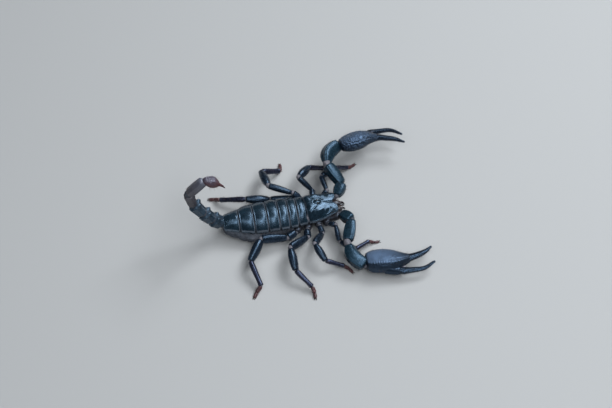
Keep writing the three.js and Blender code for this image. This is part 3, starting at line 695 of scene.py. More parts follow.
SLIT_GIRTH = [(0, 0.14, 0.05, 0.05), (0.5, 0.2, 0.06, 0.06), (1, 0.14, 0.05, 0.05)]
slits = []
for i, (front, length) in enumerate(BELLY_PLATES):
    u, v = grid(60, 90)
    x = front - u * length - 0.5 * (1 - v**2) * (0.2 + u)
    y = v * 0.80 * eased(SAC_HALF, held(-x / TRUNK_LENGTH))
    border = np.minimum(np.minimum(u, 1 - u) * length, (1 - np.abs(v)) * 6)
    skin = sac_floor(x, y)
    z = skin - 0.16 * held(border / 0.3) ** 0.5 - 0.10 * hill((1 - u) * length - 0.35, 0.3) + 0.06
    low = np.stack([x, y, z], -1)
    low[..., 2] -= 0.03 * grains(low, 0.4, 51)
    high = np.stack([x, y, skin + 0.35], -1)
    # Each plate is paler along its rear edge.
    pale_tone = 0.5 * hill((1 - u) * length - 0.15, 0.2)
    make(f"belly_plate_{i + 1}", plate(high, low), under_shell, (), np.tile(pale_tone.ravel(), 2))
    if i == 4:
        continue
    for side in (1, -1):
        spots = [(front - length * 0.45 + d * 0.25, side * (4.6 + d * 0.6)) for d in (-1, 0, 1)]
        line = [(a, b, float(sac_floor(np.array(a), np.array(b))) - 0.14) for a, b in spots]
        slits.append(limb(line, SLIT_GIRTH, sides=16, rings=14, ends=(0.2, 0.2)))
make("breathing_slits", joined(slits), breath_dark)

# ---- Combs ----
# A pair of feelers under the belly, behind the last hips: a jointed bar with a row of soft blunt
# teeth along its rear edge, held just clear of the ground.

comb_skin = cloudy_finish("comb_skin", (0.11, 0.075, 0.05), (0.24, 0.18, 0.13), 0.4, (0.42, 0.6),
                          (0.7, 0.4, 0.15), 0.02, cells_of)
COMB_TEETH = 15
COMB_JOINTS = 9
BAR_GIRTH = [(0, 0.4, 0.3, 0.3), (0.3, 0.7, 0.3, 0.3), (1, 0.5, 0.28, 0.28)]
TOOTH_GIRTH = [(0, 0.2, 0.2, 0.2), (0.6, 0.24, 0.2, 0.22), (1, 0.15, 0.12, 0.14)]


def comb_relief(t, a, spots):
    """The joints of the bar, pressed in all round it."""
    return -0.06 * hill((t * COMB_JOINTS) % 1 - 0.5, 0.12) * np.ones_like(a)


for name, side in SIDES:
    line = np.array([(-1.2, 1.2, 0.75), (-4.4, 4.4, 0.85), (-7.2, 7.4, 1.5)]) * (1, side, 1)
    parts = [limb(line, BAR_GIRTH, sides=30, rings=60, ends=(0.4, 0.5), relief=comb_relief)]
    spots, far = smooth_line(line)
    back_way = np.array([-0.86, -0.2 * side, -0.04])
    for s in np.linspace(0.10, 0.96, COMB_TEETH) * far[-1]:
        root = np.array([np.interp(s, far, spots[:, k]) for k in range(3)])
        parts.append(limb([root, root + back_way * 0.8, root + back_way * 1.5], TOOTH_GIRTH, sides=14,
                          rings=12, ends=(0.2, 0.2)))
    make(f"comb_bar_{name}", joined(parts), comb_skin, [f"comb_{name}"])

# ---- Tail ----
# Five hard rings carried up and forward in an arch, blue-black near the body and brown towards the
# sting. Each has a furrow along the back and eight beaded keels, the last one seven.

# tail_shell's pale tone is the colour of the painted highlight on the rings' upper far edges.
tail_shell = shell_finish("tail_shell", (0.009, 0.017, 0.026), (0.026, 0.042, 0.060), (0.09, 0.13, 0.18),
                          0.3, 0.03, (0.24, 0.38))
tail_brown = shell_finish("tail_brown", (0.022, 0.020, 0.025), (0.066, 0.060, 0.069), (0.115, 0.125, 0.165),
                          0.3, 0.03, (0.34, 0.5), (0.88, 0.9, 1.0))
TAIL_ROOT = np.array([-38.9, 0, 8.5])
# Of each ring: its length, yaw and pitch, its radius, the gap left at its end, how slim it is, and
# the height of the crest at its far end.
TAIL = [(6.2, -176, 46, 3.15, 0.06, 1.0, 0.5), (7.0, 180, 57, 2.9, 0.06, 1.0, 0.6),
        (8.2, 173, 60, 2.7, 0.06, 1.0, 0.7), (9.2, 190, 79.3, 2.5, 0.16, 0.88, 0.45),
        (12.0, -5, 50.5, 2.45, 0.10, 0.93, 0)]
RING_GIRTH = [(0, 0.74, 0.70, 0.74), (0.12, 0.92, 0.86, 0.9), (0.5, 0.93, 0.92, 0.95), (0.85, 1.0, 1.02, 1.0),
              (0.96, 0.95, 1.0, 0.95), (1, 0.86, 0.9, 0.86)]
LAST_GIRTH = RING_GIRTH[:3] + [(0.85, 0.88, 0.9, 0.88), (0.96, 0.80, 0.82, 0.8), (1, 0.7, 0.72, 0.7)]
RING_SIDES = 116
TAIL_SIDE = (0, -1, 0)


def ridge(a, at, width):
    """1 on a line at that angle round a limb, falling off within the width; both in degrees."""
    return hill((np.degrees(a) - at + 180) % 360 - 180, width)


def keels(angles, height, length, width=7, bead=0.6, furrow=0, hollows=(), grain=0.05, seed=61, crest=0):
    """Relief of beaded keels at those angles, a furrow on top, hollows, grain, and a crest at the
    far end. length is the limb's, width a keel's in degrees, and bead the length of one bead."""
    def relief(t, a, spots):
        beads = 0.75 + 0.25 * np.cos(2 * np.pi * t * length / bead)
        fade = held(np.minimum(t, 1 - t) * 9)
        rise = sum(ridge(a, angle, width) for angle in angles) * height * beads * fade
        rise = rise - furrow * ridge(a, 90, 22) * fade
        rise = rise - 0.22 * sum(ridge(a, angle, 20) for angle in hollows) * fade
        crown = 0.10 * hill(t * length - length + 0.6, 0.5)
        crown = crown + crest * hill(t * length - length + 1.0, 1.1) * (ridge(a, 62, 20) + ridge(a, 118, 20))
        return rise + crown + grain * grains(spots, 0.45, seed) + grain * (swells(spots, 1.8, seed) - 0.5)
    return relief


tail_joint = TAIL_ROOT.copy()
came = np.array([-1.0, 0, 0.1])
soft_core(tail_joint + (2.6, 0, -0.4), tail_joint + (0.3, 0, 0), 2.2)
for i, (length, yaw, pitch, radius, gap, slim, crest) in enumerate(TAIL):
    brown, last = i > 2, i == 4
    way = heading(yaw, pitch)
    start, stop = tail_joint + way * 0.12 * radius, tail_joint + way * (length - gap * radius)
    shape = LAST_GIRTH if last else RING_GIRTH
    girth = [(t, *(value * radius * slim for value in row)) for t, *row in shape]
    lines = (50, 130, 14, 166, 318, 222, 270) if last else (62, 118, 18, 162, 322, 218, 292, 248)
    rings = limb_rings([start, (start + stop) / 2, stop], girth, sides=RING_SIDES, rings=96, side=TAIL_SIDE,
                       square=2.5, ends=(0.35 * radius, (0.6 if last else 0.3) * radius),
                       relief=keels(lines, 0.26, length, furrow=0.3, seed=61 + i, crest=crest))
    # Rings I to III get a painted highlight along the upper side of their far end; the last ring turns paler
    # towards the sting.
    share = np.linspace(0, 1, len(rings))[1:-1, None] * np.ones(RING_SIDES)
    inner_side = held(np.sin(np.linspace(0, 2 * np.pi, RING_SIDES, endpoint=False)) + 0.3)
    pale_tone = 0.9 * share**1.5 * last if brown else 0.6 * hill(share - 0.93, 0.05) * inner_side
    make(f"tail_ring_{i + 1}", closed(rings), tail_brown if brown else tail_shell,
         [f"tail_{i + 1}"], np.append(pale_tone.ravel(), (0, 0)))
    bristle_roots.append((rings, 26, 0.7, 1.4, way * 0.5, (0.1, 0.95), (0, 360)))
    soft_joint(tail_joint, came, way, radius * 0.78, radius * 0.5, 0.04)
    soft_core(tail_joint, tail_joint + way * length, 1.0)
    tail_joint = tail_joint + way * length
    came = way

# ---- Sting ----
# A pear-shaped poison bulb, dull red-brown and set with long bristles, its upward faces given a
# painted highlight, drawn out into a smooth curved spine that is darker, as the painted highlight
# ends on the bulb.

# bulb_shell's pale tone is the colour of the bulb's painted highlight.
bulb_shell = shell_finish("bulb_shell", (0.032, 0.008, 0.009), (0.080, 0.019, 0.020), (0.072, 0.066, 0.092),
                          0.35, 0.03, (0.34, 0.48), (0.8, 0.85, 1))
bulb_way, tip_way = heading(-5, -33), heading(0, -50)
bulb_end = tail_joint + bulb_way * 6.8
line = [tail_joint - bulb_way * 0.7, tail_joint + bulb_way * 3.9, bulb_end,
        bulb_end + tip_way * 2.5 + (0.15, 0, 0.3), bulb_end + tip_way * 5.0]
girth = [(0, 1.0, 1.0, 1.1), (0.10, 1.7, 1.45, 1.75), (0.20, 2.3, 1.85, 2.4), (0.36, 2.6, 2.1, 2.9),
         (0.52, 2.0, 1.6, 2.1), (0.66, 0.85, 0.8, 0.85), (0.85, 0.45, 0.45, 0.45), (1, 0.12, 0.12, 0.12)]


def bulb_relief(t, a, spots):
    """Grain, three rows of coarser grains below, and the furrows between them, on the bulb only."""
    on_bulb = held((0.62 - t) * 6)
    rows = sum(ridge(a, at, 8) for at in (235, 270, 305)) * held(t * 8)
    return on_bulb * (0.10 * grains(spots, 0.6, 71) + 0.14 * rows * grains(spots, 0.7, 72)
                      - 0.12 * ridge(a, 253, 7) - 0.12 * ridge(a, 287, 7))


rings = limb_rings(line, girth, sides=110, rings=170, side=TAIL_SIDE, ends=(0.7, 0.2), relief=bulb_relief)
on_bulb = held((0.6 - np.linspace(0, 1, len(rings) - 2)) * 5)[:, None]
# Painted highlight on the bulb's upward faces, fading out before the spine.
painted_top_highlight = np.clip(outward_of(rings)[1:-1, :, 2] * 1.4 - 0.25, 0, 0.9) * on_bulb
make("sting_bulb", closed(rings), bulb_shell, ["sting"], np.append(painted_top_highlight.ravel(), (0, 0)))
bristle_roots.append((rings, 60, 0.8, 1.8, bulb_way * 0.7, (0.06, 0.6), (0, 360)))
soft_joint(tail_joint - came * 0.7, came, bulb_way, 1.0, 1.0, 0.05)

# ---- Pincer arms ----
# Three thick hard lengths from hip to wrist, flat-sided, with beaded keels along their edges and
# strong blunt teeth on the inner edge of the last one.

arm_shell = shell_finish("arm_shell", (0.004, 0.012, 0.019), (0.009, 0.024, 0.036), (0.12, 0.13, 0.14),
                         0.35, 0.03, (0.22, 0.35), (0.22, 0.38, 0.57))
# Of each arm: its side, length, yaw and pitch of each length and the hand, the gap that the shells
# leave at the elbow, how far it is rolled inwards, where the patella's upper keels run, and at
# which face round it its teeth stand.
PINCERS = dict(
    right=dict(side=-1, trochanter=(7.0, -54, 17), femur=(12.1, -111, -7), patella=(13.2, -62, -15),
               hand=(17.4, -5, 0), elbow_gap=0.7, roll=0, upper_keels=(58, 150), tooth_face=4),
    left=dict(side=1, trochanter=(7.0, 56, 3), femur=(12.1, 119, 21), patella=(13.2, 53, -3),
              hand=(17.4, 8.5, -2), elbow_gap=0.1, roll=42, upper_keels=(30, 122), tooth_face=58),
)
ARM_GIRTH = dict(
    trochanter=[(0, 1.6, 1.6, 1.6), (0.2, 2.3, 2.1, 2.1), (0.5, 2.9, 2.5, 2.5), (0.85, 2.6, 2.3, 2.3),
                (1, 2.1, 1.9, 1.9)],
    femur=[(0, 1.5, 1.5, 1.5), (0.15, 2.2, 1.95, 2.0), (0.4, 2.75, 2.2, 2.25), (0.7, 2.85, 2.2, 2.3),
           (0.9, 2.4, 1.95, 2.0), (1, 1.6, 1.5, 1.5)],
    patella=[(0, 1.5, 1.4, 1.4), (0.12, 2.2, 1.9, 1.9), (0.32, 3.2, 2.5, 2.6), (0.7, 3.45, 2.6, 2.7),
             (0.92, 3.0, 2.3, 2.3), (1, 2.1, 1.8, 1.9)],
)
PATELLA_BOW = 1.9
TOOTH_RINGS = slice(30, 75, 11)
wrists = {}
for name, arm in PINCERS.items():
    side, gap = arm["side"], arm["elbow_gap"]
    elbow = np.array([16.0, 5.2 * side, 7.6])
    came = unit(np.array([4.2, 0.8 * side, 1.7]))
    for piece, inset, overlap, lean, edges, joint in (
            ("trochanter", -0.2, 0.35, 0, (50, 130, 230, 310), (1.2, 1.7, 0.35)),
            ("femur", -0.4, -gap, 0.4, (40, 140, 218, 322), (1.2, 1.7, 0.35)),
            ("patella", gap - 0.3, 0.35, 1, (*arm["upper_keels"], 218, 322), (1.75, 2.6, 0.8))):
        length, yaw, pitch = arm[piece]
        way = heading(yaw, pitch)
        middle = elbow + way * length / 2
        if piece == "patella":
            middle = middle + PATELLA_BOW * unit(np.cross((0, 0, side), way))
        line = [elbow + way * inset, middle, elbow + way * (length + overlap)]
        relief = keels(edges, 0.30, length, width=6, bead=0.75, hollows=(0, 180, 270), grain=0.04, seed=81)
        rings = limb_rings(line, ARM_GIRTH[piece], sides=124, rings=116, lean=lean * arm["roll"] * side,
                           square=2.6, ends=(1.5, 1.4), relief=relief)
        parts = [closed(rings)]
        if piece == "patella":
            for ring in rings[TOOTH_RINGS]:
                root = ring[arm["tooth_face"]]
                out = unit(root - ring.mean(0))
                parts.append(spike(root - out * 0.25, out + way * 0.15, 0.75, 0.3, 12))
        make(f"pincer_{name}_{piece}", joined(parts), arm_shell, [f"claw_{name}_{piece}"])
        bristle_roots.append((rings, 34, 0.8, 1.6, way * 0.5, (0.08, 0.95), (0, 360)))
        soft_joint(elbow, came, way, *joint)
        soft_core(elbow, elbow + way * length, 0.9)
        elbow = elbow + way * length
        came = way
    wrists[name] = elbow
    soft_joint(elbow, came, heading(*arm["hand"][1:]), 1.4, 1.8, 0.5)

# ---- Hands ----
# A swollen palm drawn out into a fixed finger, with a moving finger hinged beside it. The shell
# is netted with low rounded grains, and both fingers carry rows of fine teeth that meet.

# hand_shell's pale tone is the colour of the painted highlight on the palm's upper side.
hand_shell = shell_finish("hand_shell", (0.004, 0.006, 0.010), (0.009, 0.014, 0.023), (0.092, 0.142, 0.228),
                          0.35, 0.03, (0.28, 0.42), (0.38, 0.60, 0.95))
finger_shell = shell_finish("finger_shell", (0.003, 0.005, 0.008), (0.008, 0.011, 0.017), (0.06, 0.09, 0.13),
                            0.3, 0.015, (0.18, 0.28), (0.24, 0.40, 0.64))
tooth_shell = shell_finish("tooth_shell", (0.012, 0.007, 0.006), (0.04, 0.018, 0.012), (0.1, 0.07, 0.05),
                           0.3, 0.01, (0.2, 0.3), (1, 0.95, 0.9))
# Of each hand: the lines of palm and fingers, as how far along from the wrist, inwards and up; the
# palm's girths and lean; the angles of its three keels and their height; the height of the grains
# that net it; how strong the painted highlight on its upper side is, and how much of it is taken
# away past the shoulder keel as painted shade.
HANDS = dict(
    right=dict(
        palm=[(-0.1, 1.5, 0), (6, 1.7, 0), (14, 1.35, 0), (20.8, 2.0, 0)],
        fixed=[(19.5, 1.8, 0), (24.6, 3.05, 0), (28.7, 4.9, 0), (31.4, 7.2, 0)],
        moving=[(16.4, -4.3, -0.6), (22, -4.4, -0.6), (27, -3.9, -0.4), (32, -0.8, -0.3)],
        girth=[(0, 3.2, 2.3, 2.3), (0.09, 5.1, 3.2, 3.3), (0.27, 6.1, 3.75, 3.9), (0.48, 6.15, 3.75, 3.8),
               (0.68, 5.2, 3.3, 3.2), (0.86, 3.1, 2.4, 2.4), (1, 1.7, 1.5, 1.5)],
        lean=-18, shoulder=136, outer=208, inner=0, keel=0.42, net=0.05, painted_highlight=0.98, painted_shade=0.85),
    left=dict(
        palm=[(-0.1, 1.5, -0.3), (6, 1.6, -0.1), (13.8, 0.8, -0.1), (19.4, 1.7, -1.1)],
        fixed=[(19.2, 1.6, -1.1), (23.1, 2.2, -2.3), (26.8, 3.2, -3.6), (30.8, 5.3, -5.8)],
        moving=[(16.4, -4.1, 0.55), (21.4, -3.95, 0.45), (27.4, -3.3, -0.4), (31.9, 0.2, -3.0)],
        girth=[(0, 2.8, 2.0, 2.1), (0.09, 4.5, 2.75, 3.0), (0.28, 5.9, 3.65, 3.9), (0.52, 6.1, 3.85, 3.8),
               (0.70, 4.8, 3.2, 3.0), (0.86, 3.1, 2.05, 2.1), (1, 1.6, 1.25, 1.35)],
        lean=0, shoulder=40, outer=-28, inner=180, keel=0.30, net=0.28, painted_highlight=0.62, painted_shade=0),
)
PALM_SIDES = 300
KNUCKLE_GIRTH = [(0, 2.9, 2.2, 2.5), (0.5, 2.35, 1.9, 2.1), (1, 1.7, 1.55, 1.6)]
FIXED_GIRTH = [(0, 2.2, 2.0, 2.0), (0.3, 2.05, 1.6, 1.6), (0.5, 1.6, 1.25, 1.3), (0.75, 1.15, 0.95, 1.0),
               (0.93, 0.58, 0.5, 0.52), (1, 0.3, 0.3, 0.3)]
MOVING_GIRTH = [(0, 1.4, 1.4, 1.4), (0.16, 1.65, 1.5, 1.5), (0.27, 1.35, 1.25, 1.25), (0.62, 0.95, 0.9, 0.9),
                (0.93, 0.55, 0.5, 0.5), (1, 0.28, 0.28, 0.28)]
finger_relief = keels((90, 30, 150, 270), 0.14, 22, width=9, bead=1.0, grain=0.06, seed=95)


def finger_teeth(rings, facing, first):
    """A row of teeth from ring first to near the tip, every seventh one twice as big."""
    teeth = []
    for k in range(first, len(rings) - 8, 3):
        root = rings[k][np.argmax((rings[k] - rings[k].mean(0)) @ facing)]
        size = (0.16 if (k // 3) % 7 else 0.32) * (1.0 - 0.5 * k / len(rings))
        teeth.append(spike(root - facing * 0.12, facing, size + 0.14, size * 0.6))
    return teeth


def palm_painted_light(palm, hand):
    """How much painted highlight each spot of the palm gets: most on its upper side and near the wrist, with
    painted shade past the shoulder keel.
    """
    pale = held(outward_of(palm)[1:-1, :, 2] * 2.4 - 1.3) * hand["painted_highlight"]
    past = np.degrees(2 * np.pi * np.arange(PALM_SIDES) / PALM_SIDES) - hand["shoulder"]
    pale = pale * (1 - hand["painted_shade"] * held(past / 7 + 0.5) * (past < 150))
    pale = pale * (0.6 + 0.5 * swells(palm[1:-1], 2.2, 93))
    return pale * held(2.2 - np.linspace(0, 2.6, len(pale)))[:, None]


for name, arm in PINCERS.items():
    hand, wrist, side, roll = HANDS[name], wrists[name], arm["side"], math.radians(arm["roll"])
    along = heading(*arm["hand"][1:])
    across = unit(np.cross((0, 0, 1), along)) * -side
    up = unit(np.array([0, 0, 1]) - along * along[2])
    inner, over = across * math.cos(roll) + up * math.sin(roll), up * math.cos(roll) - across * math.sin(roll)
    lean = -side * arm["roll"]

    def hand_line(*points):
        return [wrist + along * a + inner * b + over * h for a, b, h in points]

    def palm_relief(t, a, spots):
        keel = ridge(a, hand["shoulder"], 9) + 0.7 * ridge(a, hand["outer"], 8)
        keel = keel + 0.6 * ridge(a, hand["inner"], 9)
        beaded = hand["keel"] * keel * held(t * 6) * (0.85 + 0.15 * np.cos(t * 110))
        return beaded + hand["net"] * grains(spots, 0.8, 91) + 0.02 * grains(spots, 0.3, 92)

    palm_line = hand_line(*hand["palm"])
    palm = limb_rings(palm_line, hand["girth"], sides=PALM_SIDES, rings=260, lean=lean + hand["lean"],
                      square=2.6, ends=(1.3, 0.8), relief=palm_relief)
    level = hand["moving"][0][2]
    knuckle_line = hand_line((8.5, -1.9, 0.3 * level), (13.0, -3.5, 0.7 * level), (16.0, -4.25, 0.9 * level))
    knuckle = limb(knuckle_line, KNUCKLE_GIRTH, sides=110, rings=80, lean=lean + hand["lean"], square=2.3,
                   ends=(1.5, 1.3), relief=palm_relief)
    # The palm's upper side gets a painted highlight, taken away past the shoulder keel as painted shade; the
    # knuckle gets none.
    painted_highlight = palm_painted_light(palm, hand).ravel()
    make(f"pincer_{name}_hand", joined([closed(palm), knuckle]), hand_shell,
         [f"claw_{name}_hand"], np.append(painted_highlight, np.zeros(2 + len(knuckle[0]))))
    fixed = limb_rings(hand_line((12.0, 1.6, 0), *hand["fixed"]), FIXED_GIRTH, sides=96, rings=180, lean=lean,
                       square=2.2, ends=(1.5, 0.35), relief=finger_relief)
    make(f"pincer_{name}_fixed_finger", closed(fixed), finger_shell)
    moving = limb_rings(hand_line((14.6, -3.9, -0.3), *hand["moving"]), MOVING_GIRTH, sides=84, rings=160,
                        lean=lean, square=2.2, ends=(0.9, 0.35), relief=finger_relief)
    make(f"pincer_{name}_finger", closed(moving), finger_shell, [f"claw_{name}_finger"])
    teeth = finger_teeth(fixed, -inner, 74) + finger_teeth(moving, inner, 40)
    make(f"finger_teeth_{name}", joined(teeth), tooth_shell)
    bristle_roots.append((palm, 70, 0.8, 1.7, along * 0.6, (0.08, 0.97), (0, 360)))
    bristle_roots.append((fixed, 34, 0.6, 1.3, along * 0.8, (0.3, 0.97), (0, 360)))
    bristle_roots.append((moving, 34, 0.6, 1.3, along * 0.8, (0.05, 0.97), (0, 360)))
    hinge = hand_line(hand["moving"][0])[0]
    soft_core(wrist, wrist + along * 12 + inner, 1.3)
    soft_joint(hinge + along * 1.2 + inner * 1.5, along, along, 1.0, 1.0)
    soft_core(palm_line[2], hinge, 1.0)

# ---- Legs ----
# Eight legs of six hard lengths: a short ring at the hip, a flat deep thigh, a swollen patella, a
# dark shin, and two small rust-red foot lengths with spines below and two claws at the tip.

leg_shell = shell_finish("leg_shell", (0.003, 0.006, 0.010), (0.009, 0.015, 0.026), (0.13, 0.13, 0.15),
                         0.25, 0.02, (0.22, 0.34), (0.32, 0.50, 0.74))
shin_shell = shell_finish("shin_shell", (0.005, 0.006, 0.011), (0.014, 0.014, 0.024), (0.10, 0.09, 0.11),
                          0.25, 0.02, (0.22, 0.34), (0.36, 0.46, 0.76))
foot_shell = shell_finish("foot_shell", (0.024, 0.006, 0.008), (0.074, 0.018, 0.020), (0.14, 0.07, 0.06),
                          0.2, 0.02, (0.34, 0.5), (0.9, 0.8, 0.85))
claw_shell = shell_finish("claw_shell", (0.010, 0.006, 0.005), (0.035, 0.015, 0.010), (0.1, 0.07, 0.05),
                          0.2, 0.01, (0.18, 0.28), (1, 0.95, 0.9))
# Of each leg from the first to the fourth: its six lengths, its girth, and its stance, which is the
# yaw of each length and the pitch of the first three. The feet lie at FOOT_PITCHES, and the shin
# comes down as far as it takes to stand on the floor.
LEG_LENGTHS = [(4.0, 8.4, 8.2, 8.7, 2.8, 2.5), (4.4, 9.3, 9.3, 9.2, 2.8, 2.5),
               (4.5, 11.8, 11.0, 10.5, 3.1, 2.7), (5.0, 12.7, 11.8, 12.7, 3.6, 2.9)]
LEG_GIRTH = (1.55, 1.75, 1.95, 2.0)
STANCE = dict(
    right=[((-38, -88, -40, 31, -5, 6), (26, -14, -2)), ((-83, -126, -67, -15, -26, -58), (0, 21, -18)),
           ((-100, -145, -88, -52, -73, -97), (5, 17, -15)),
           ((-152, -178, -125, -77, -143, -122), (2, 13, -9))],
    left=[((33, 97, 32, 17, 32, 32), (39, 1, -5)), ((81, 139, 47, 16, 40, 45), (-8, 36, -17)),
          ((150, 158, 98, 15, 71, 85), (34, 13, -15)), ((20, 176, 177, 160, 135, 165), (-22, 3, 12))],
)
FOOT_PITCHES = (-32, -11)
SOLE = 0.15
SHIN_SHARE = 0.74
# Of each length: how far inside its ends its shell starts and stops, how flat it is, its faces round
# and along, the height of its keels, and its share of the leg's girth along it.
LEG_SHELLS = [
    (0.15, 0.05, 0.85, 56, 40, 0.1, [(0, 0.66), (0.35, 0.92), (0.8, 0.92), (1, 0.8)]),
    (0.2, 0.05, 0.74, 56, 64, 0.1,
     [(0, 0.6), (0.15, 0.84), (0.5, 1.04), (0.82, 1.06), (0.95, 0.94), (1, 0.78)]),
    (0.25, -0.2, 0.86, 56, 64, 0.1,
     [(0, 0.62), (0.12, 0.88), (0.35, 1.14), (0.65, 1.1), (0.92, 0.84), (1, 0.66)]),
    (-0.1, -0.1, 0.9, 48, 64, 0.06, [(0, 0.7), (0.1, 0.94), (0.25, 1), (0.7, 0.84), (0.95, 0.84), (1, 0.7)]),
    (0.1, 0.02, 0.92, 36, 40, 0.04, [(0, 0.58), (0.15, 0.66), (0.6, 0.62), (1, 0.52)]),
    (0.05, 0, 0.9, 36, 40, 0.04, [(0, 0.48), (0.2, 0.56), (0.7, 0.52), (1, 0.44)]),
]
# Of each joint: the soft skin's share of the girth, its reach, and how pale it is. LEG_CORES are
# the radii of the soft cores in the first five lengths.
LEG_JOINTS = [(0.6, 1.2, 0.22), (0.6, 1.3, 0.7), (0.64, 1.4, 0.7), (0.42, 0.9, 0.6), (0.34, 0.5, 0.6),
              (0.28, 0.4, 0.4)]
LEG_CORES = (0.6, 0.6, 0.55, 0.5, 0.38)
# Of each length from the thigh on: how many bristles it has, and how long the longest are.
LEG_BRISTLES = ((16, 1.1), (18, 1.2), (26, 1.1), (12, 0.8), (14, 0.7))


def leg_rings(start, stop, girth, lean, seed, shape):
    """The rings of one length of a leg, from the joint at its start to the one at its end."""
    inset, back, flat, sides, rings, keel, profile = shape
    way = unit(stop - start)
    start, stop = start + way * inset, stop - way * back
    stations = [(t, size * girth * flat, size * girth, size * girth) for t, size in profile]
    relief = keels((90, 270, 62, 118), keel, np.linalg.norm(stop - start), width=9, bead=0.5, grain=0.035,
                   seed=seed)
    return limb_rings([start, (start + stop) / 2, stop], stations, sides=sides, rings=rings, lean=lean,
                      square=2.2, ends=(0.55, 0.5), relief=relief)


def foot_spines(rings, way):
    """Pairs of short spines along the underside of a foot length."""
    sideways = unit(np.cross((0, 0, 1), way))
    spines = []
    for share in (0.3, 0.5, 0.7, 0.88):
        ring = rings[int(share * (len(rings) - 1))]
        for out in (sideways * -0.75 + (0, 0, -0.55), sideways * 0.75 + (0, 0, -0.55)):
            root = ring[np.argmax((ring - ring.mean(0)) @ out)]
            spines.append(spike(root - out * 0.08, out + way * 0.8, 0.6, 0.09, 6))
    return spines


def foot_claws(toe, yaw):
    """The two curved claws that spread from the tip of the foot."""
    root = toe - heading(yaw, 0) * 0.5 + (0, 0, 0.02)
    claws = []
    for spread in (-26, 26):
        middle = root + heading(yaw + spread, 8) * 0.77
        tip = middle + heading(yaw + spread * 0.6, -24) * 0.82
        claws.append(limb([root, middle, tip], even((0, 0.26), (0.5, 0.2), (1, 0.07)), sides=14, rings=16,
                          ends=(0.15, 0.1)))
    return claws


def on_floor(part):
    """The part with whatever would be below the floor pressed flat on it."""
    spots, faces = part
    return np.maximum(spots, (-np.inf, -np.inf, 0)), faces


for name, side in reversed(SIDES):
    for i, (lengths, girth, (yaws, pitches)) in enumerate(zip(LEG_LENGTHS, LEG_GIRTH, STANCE[name])):
        leg = f"leg_{name}_{i + 1}"
        seed = 101 + i + (10 if side > 0 else 0)
        steps = [heading(*way) * length for *way, length in zip(yaws, pitches, lengths)]
        toes = [heading(*way) * length for *way, length in zip(yaws[4:], FOOT_PITCHES, lengths[4:])]
        hip = np.array(HIPS[i]) * (1, side, 1)
        drop = SOLE * girth - (hip + sum(steps) + sum(toes))[2]
        shin = heading(yaws[3], math.degrees(math.asin(drop / lengths[3]))) * lengths[3]
        spots = [hip]
        for step in (*steps, shin, *toes):
            spots.append(spots[-1] + step)
        ways = [unit(stop - start) for start, stop in zip(spots, spots[1:])]
        girths = [girth] * 3 + [girth * SHIN_SHARE] * 3
        shells = [leg_rings(start, stop, size, -30 * side, seed, shape)
                  for start, stop, size, shape in zip(spots, spots[1:], girths, LEG_SHELLS)]
        trochanter, thigh, patella, tibia, basal, tarsus = (closed(rings) for rings in shells)

        make(f"{leg}_thigh", joined([trochanter, thigh]), leg_shell, [f"{leg}_femur"])
        make(f"{leg}_knee", patella, leg_shell, [f"{leg}_patella"])
        heel, across = spots[4], np.cross((0, 0, 1), ways[3])
        spurs = [spike(heel + across * 0.35 * k + (0, 0, -0.35 * girths[3]),
                       ways[4] * 0.7 + across * 0.5 * k + (0, 0, -0.35), 0.8, 0.13) for k in (-1, 1)]
        make(f"{leg}_shin", joined([tibia] + spurs), shin_shell, [f"{leg}_foot"])
        foot = [basal, tarsus] + foot_spines(shells[4], ways[4]) + foot_spines(shells[5], ways[5])
        make(f"{leg}_toes", on_floor(joined(foot)), foot_shell, [f"{leg}_foot"])
        make(f"{leg}_claws", on_floor(joined(foot_claws(spots[6], yaws[5]))), claw_shell)

        for rings, way, (count, reach) in zip(shells[1:], ways[1:], LEG_BRISTLES):
            bristle_roots.append((rings, count, reach * 0.5, reach, way * 0.8, (0.1, 0.95), (0, 360)))
        came = [np.array([0.3, 0.9 * side, 0.2])] + ways
        for spot, before, after, (share, reach, pale) in zip(spots, came, ways, LEG_JOINTS):
            soft_joint(spot, before, after, girth * share, reach, pale)
        soft_core(hip * (0.8, 0.55, 1) + (0.5, 0, 0.3), hip, 0.9)
        for start, stop, radius in zip(spots, spots[1:], LEG_CORES):
            soft_core(start, stop, radius)

# ---- Skin ----
# One soft folded skin under all the plates: it shows as the grey sides of the abdomen, dark
# between the back plates and tail rings, and pale at the waist and the joints of legs and pincers.

skin_finish, shader, place = finish_of("skin_finish", (0.06, 0.06, 0.066), 0.62, 0.3, (0.8, 0.9, 1))
side_tone = ramp_of(noise_of(place, 1.6, 4), 0.3, (0.028, 0.033, 0.044), 0.7, (0.070, 0.078, 0.096))
joint_tone = ramp_of(noise_of(place, 1.0), 0.3, (0.105, 0.100, 0.115), 0.7, (0.235, 0.222, 0.245))
wrinkles = math_of("ADD", noise_of(place, 0.5, 4), cells_of(place, 0.3))
paint(shader, mixed(pale_of(place), side_tone, joint_tone), span_of(noise_of(place, 0.8), 0.5, 0.72),
      wrinkles, 0.06)
# The width of the skin's faces.
SKIN_MESH = 0.26


def read(items, what, kind, width=1):
    """What each of a mesh's items holds, that many values each, as one flat array."""
    values = np.empty(len(items) * width, kind)
    items.foreach_get(what, values)
    return values


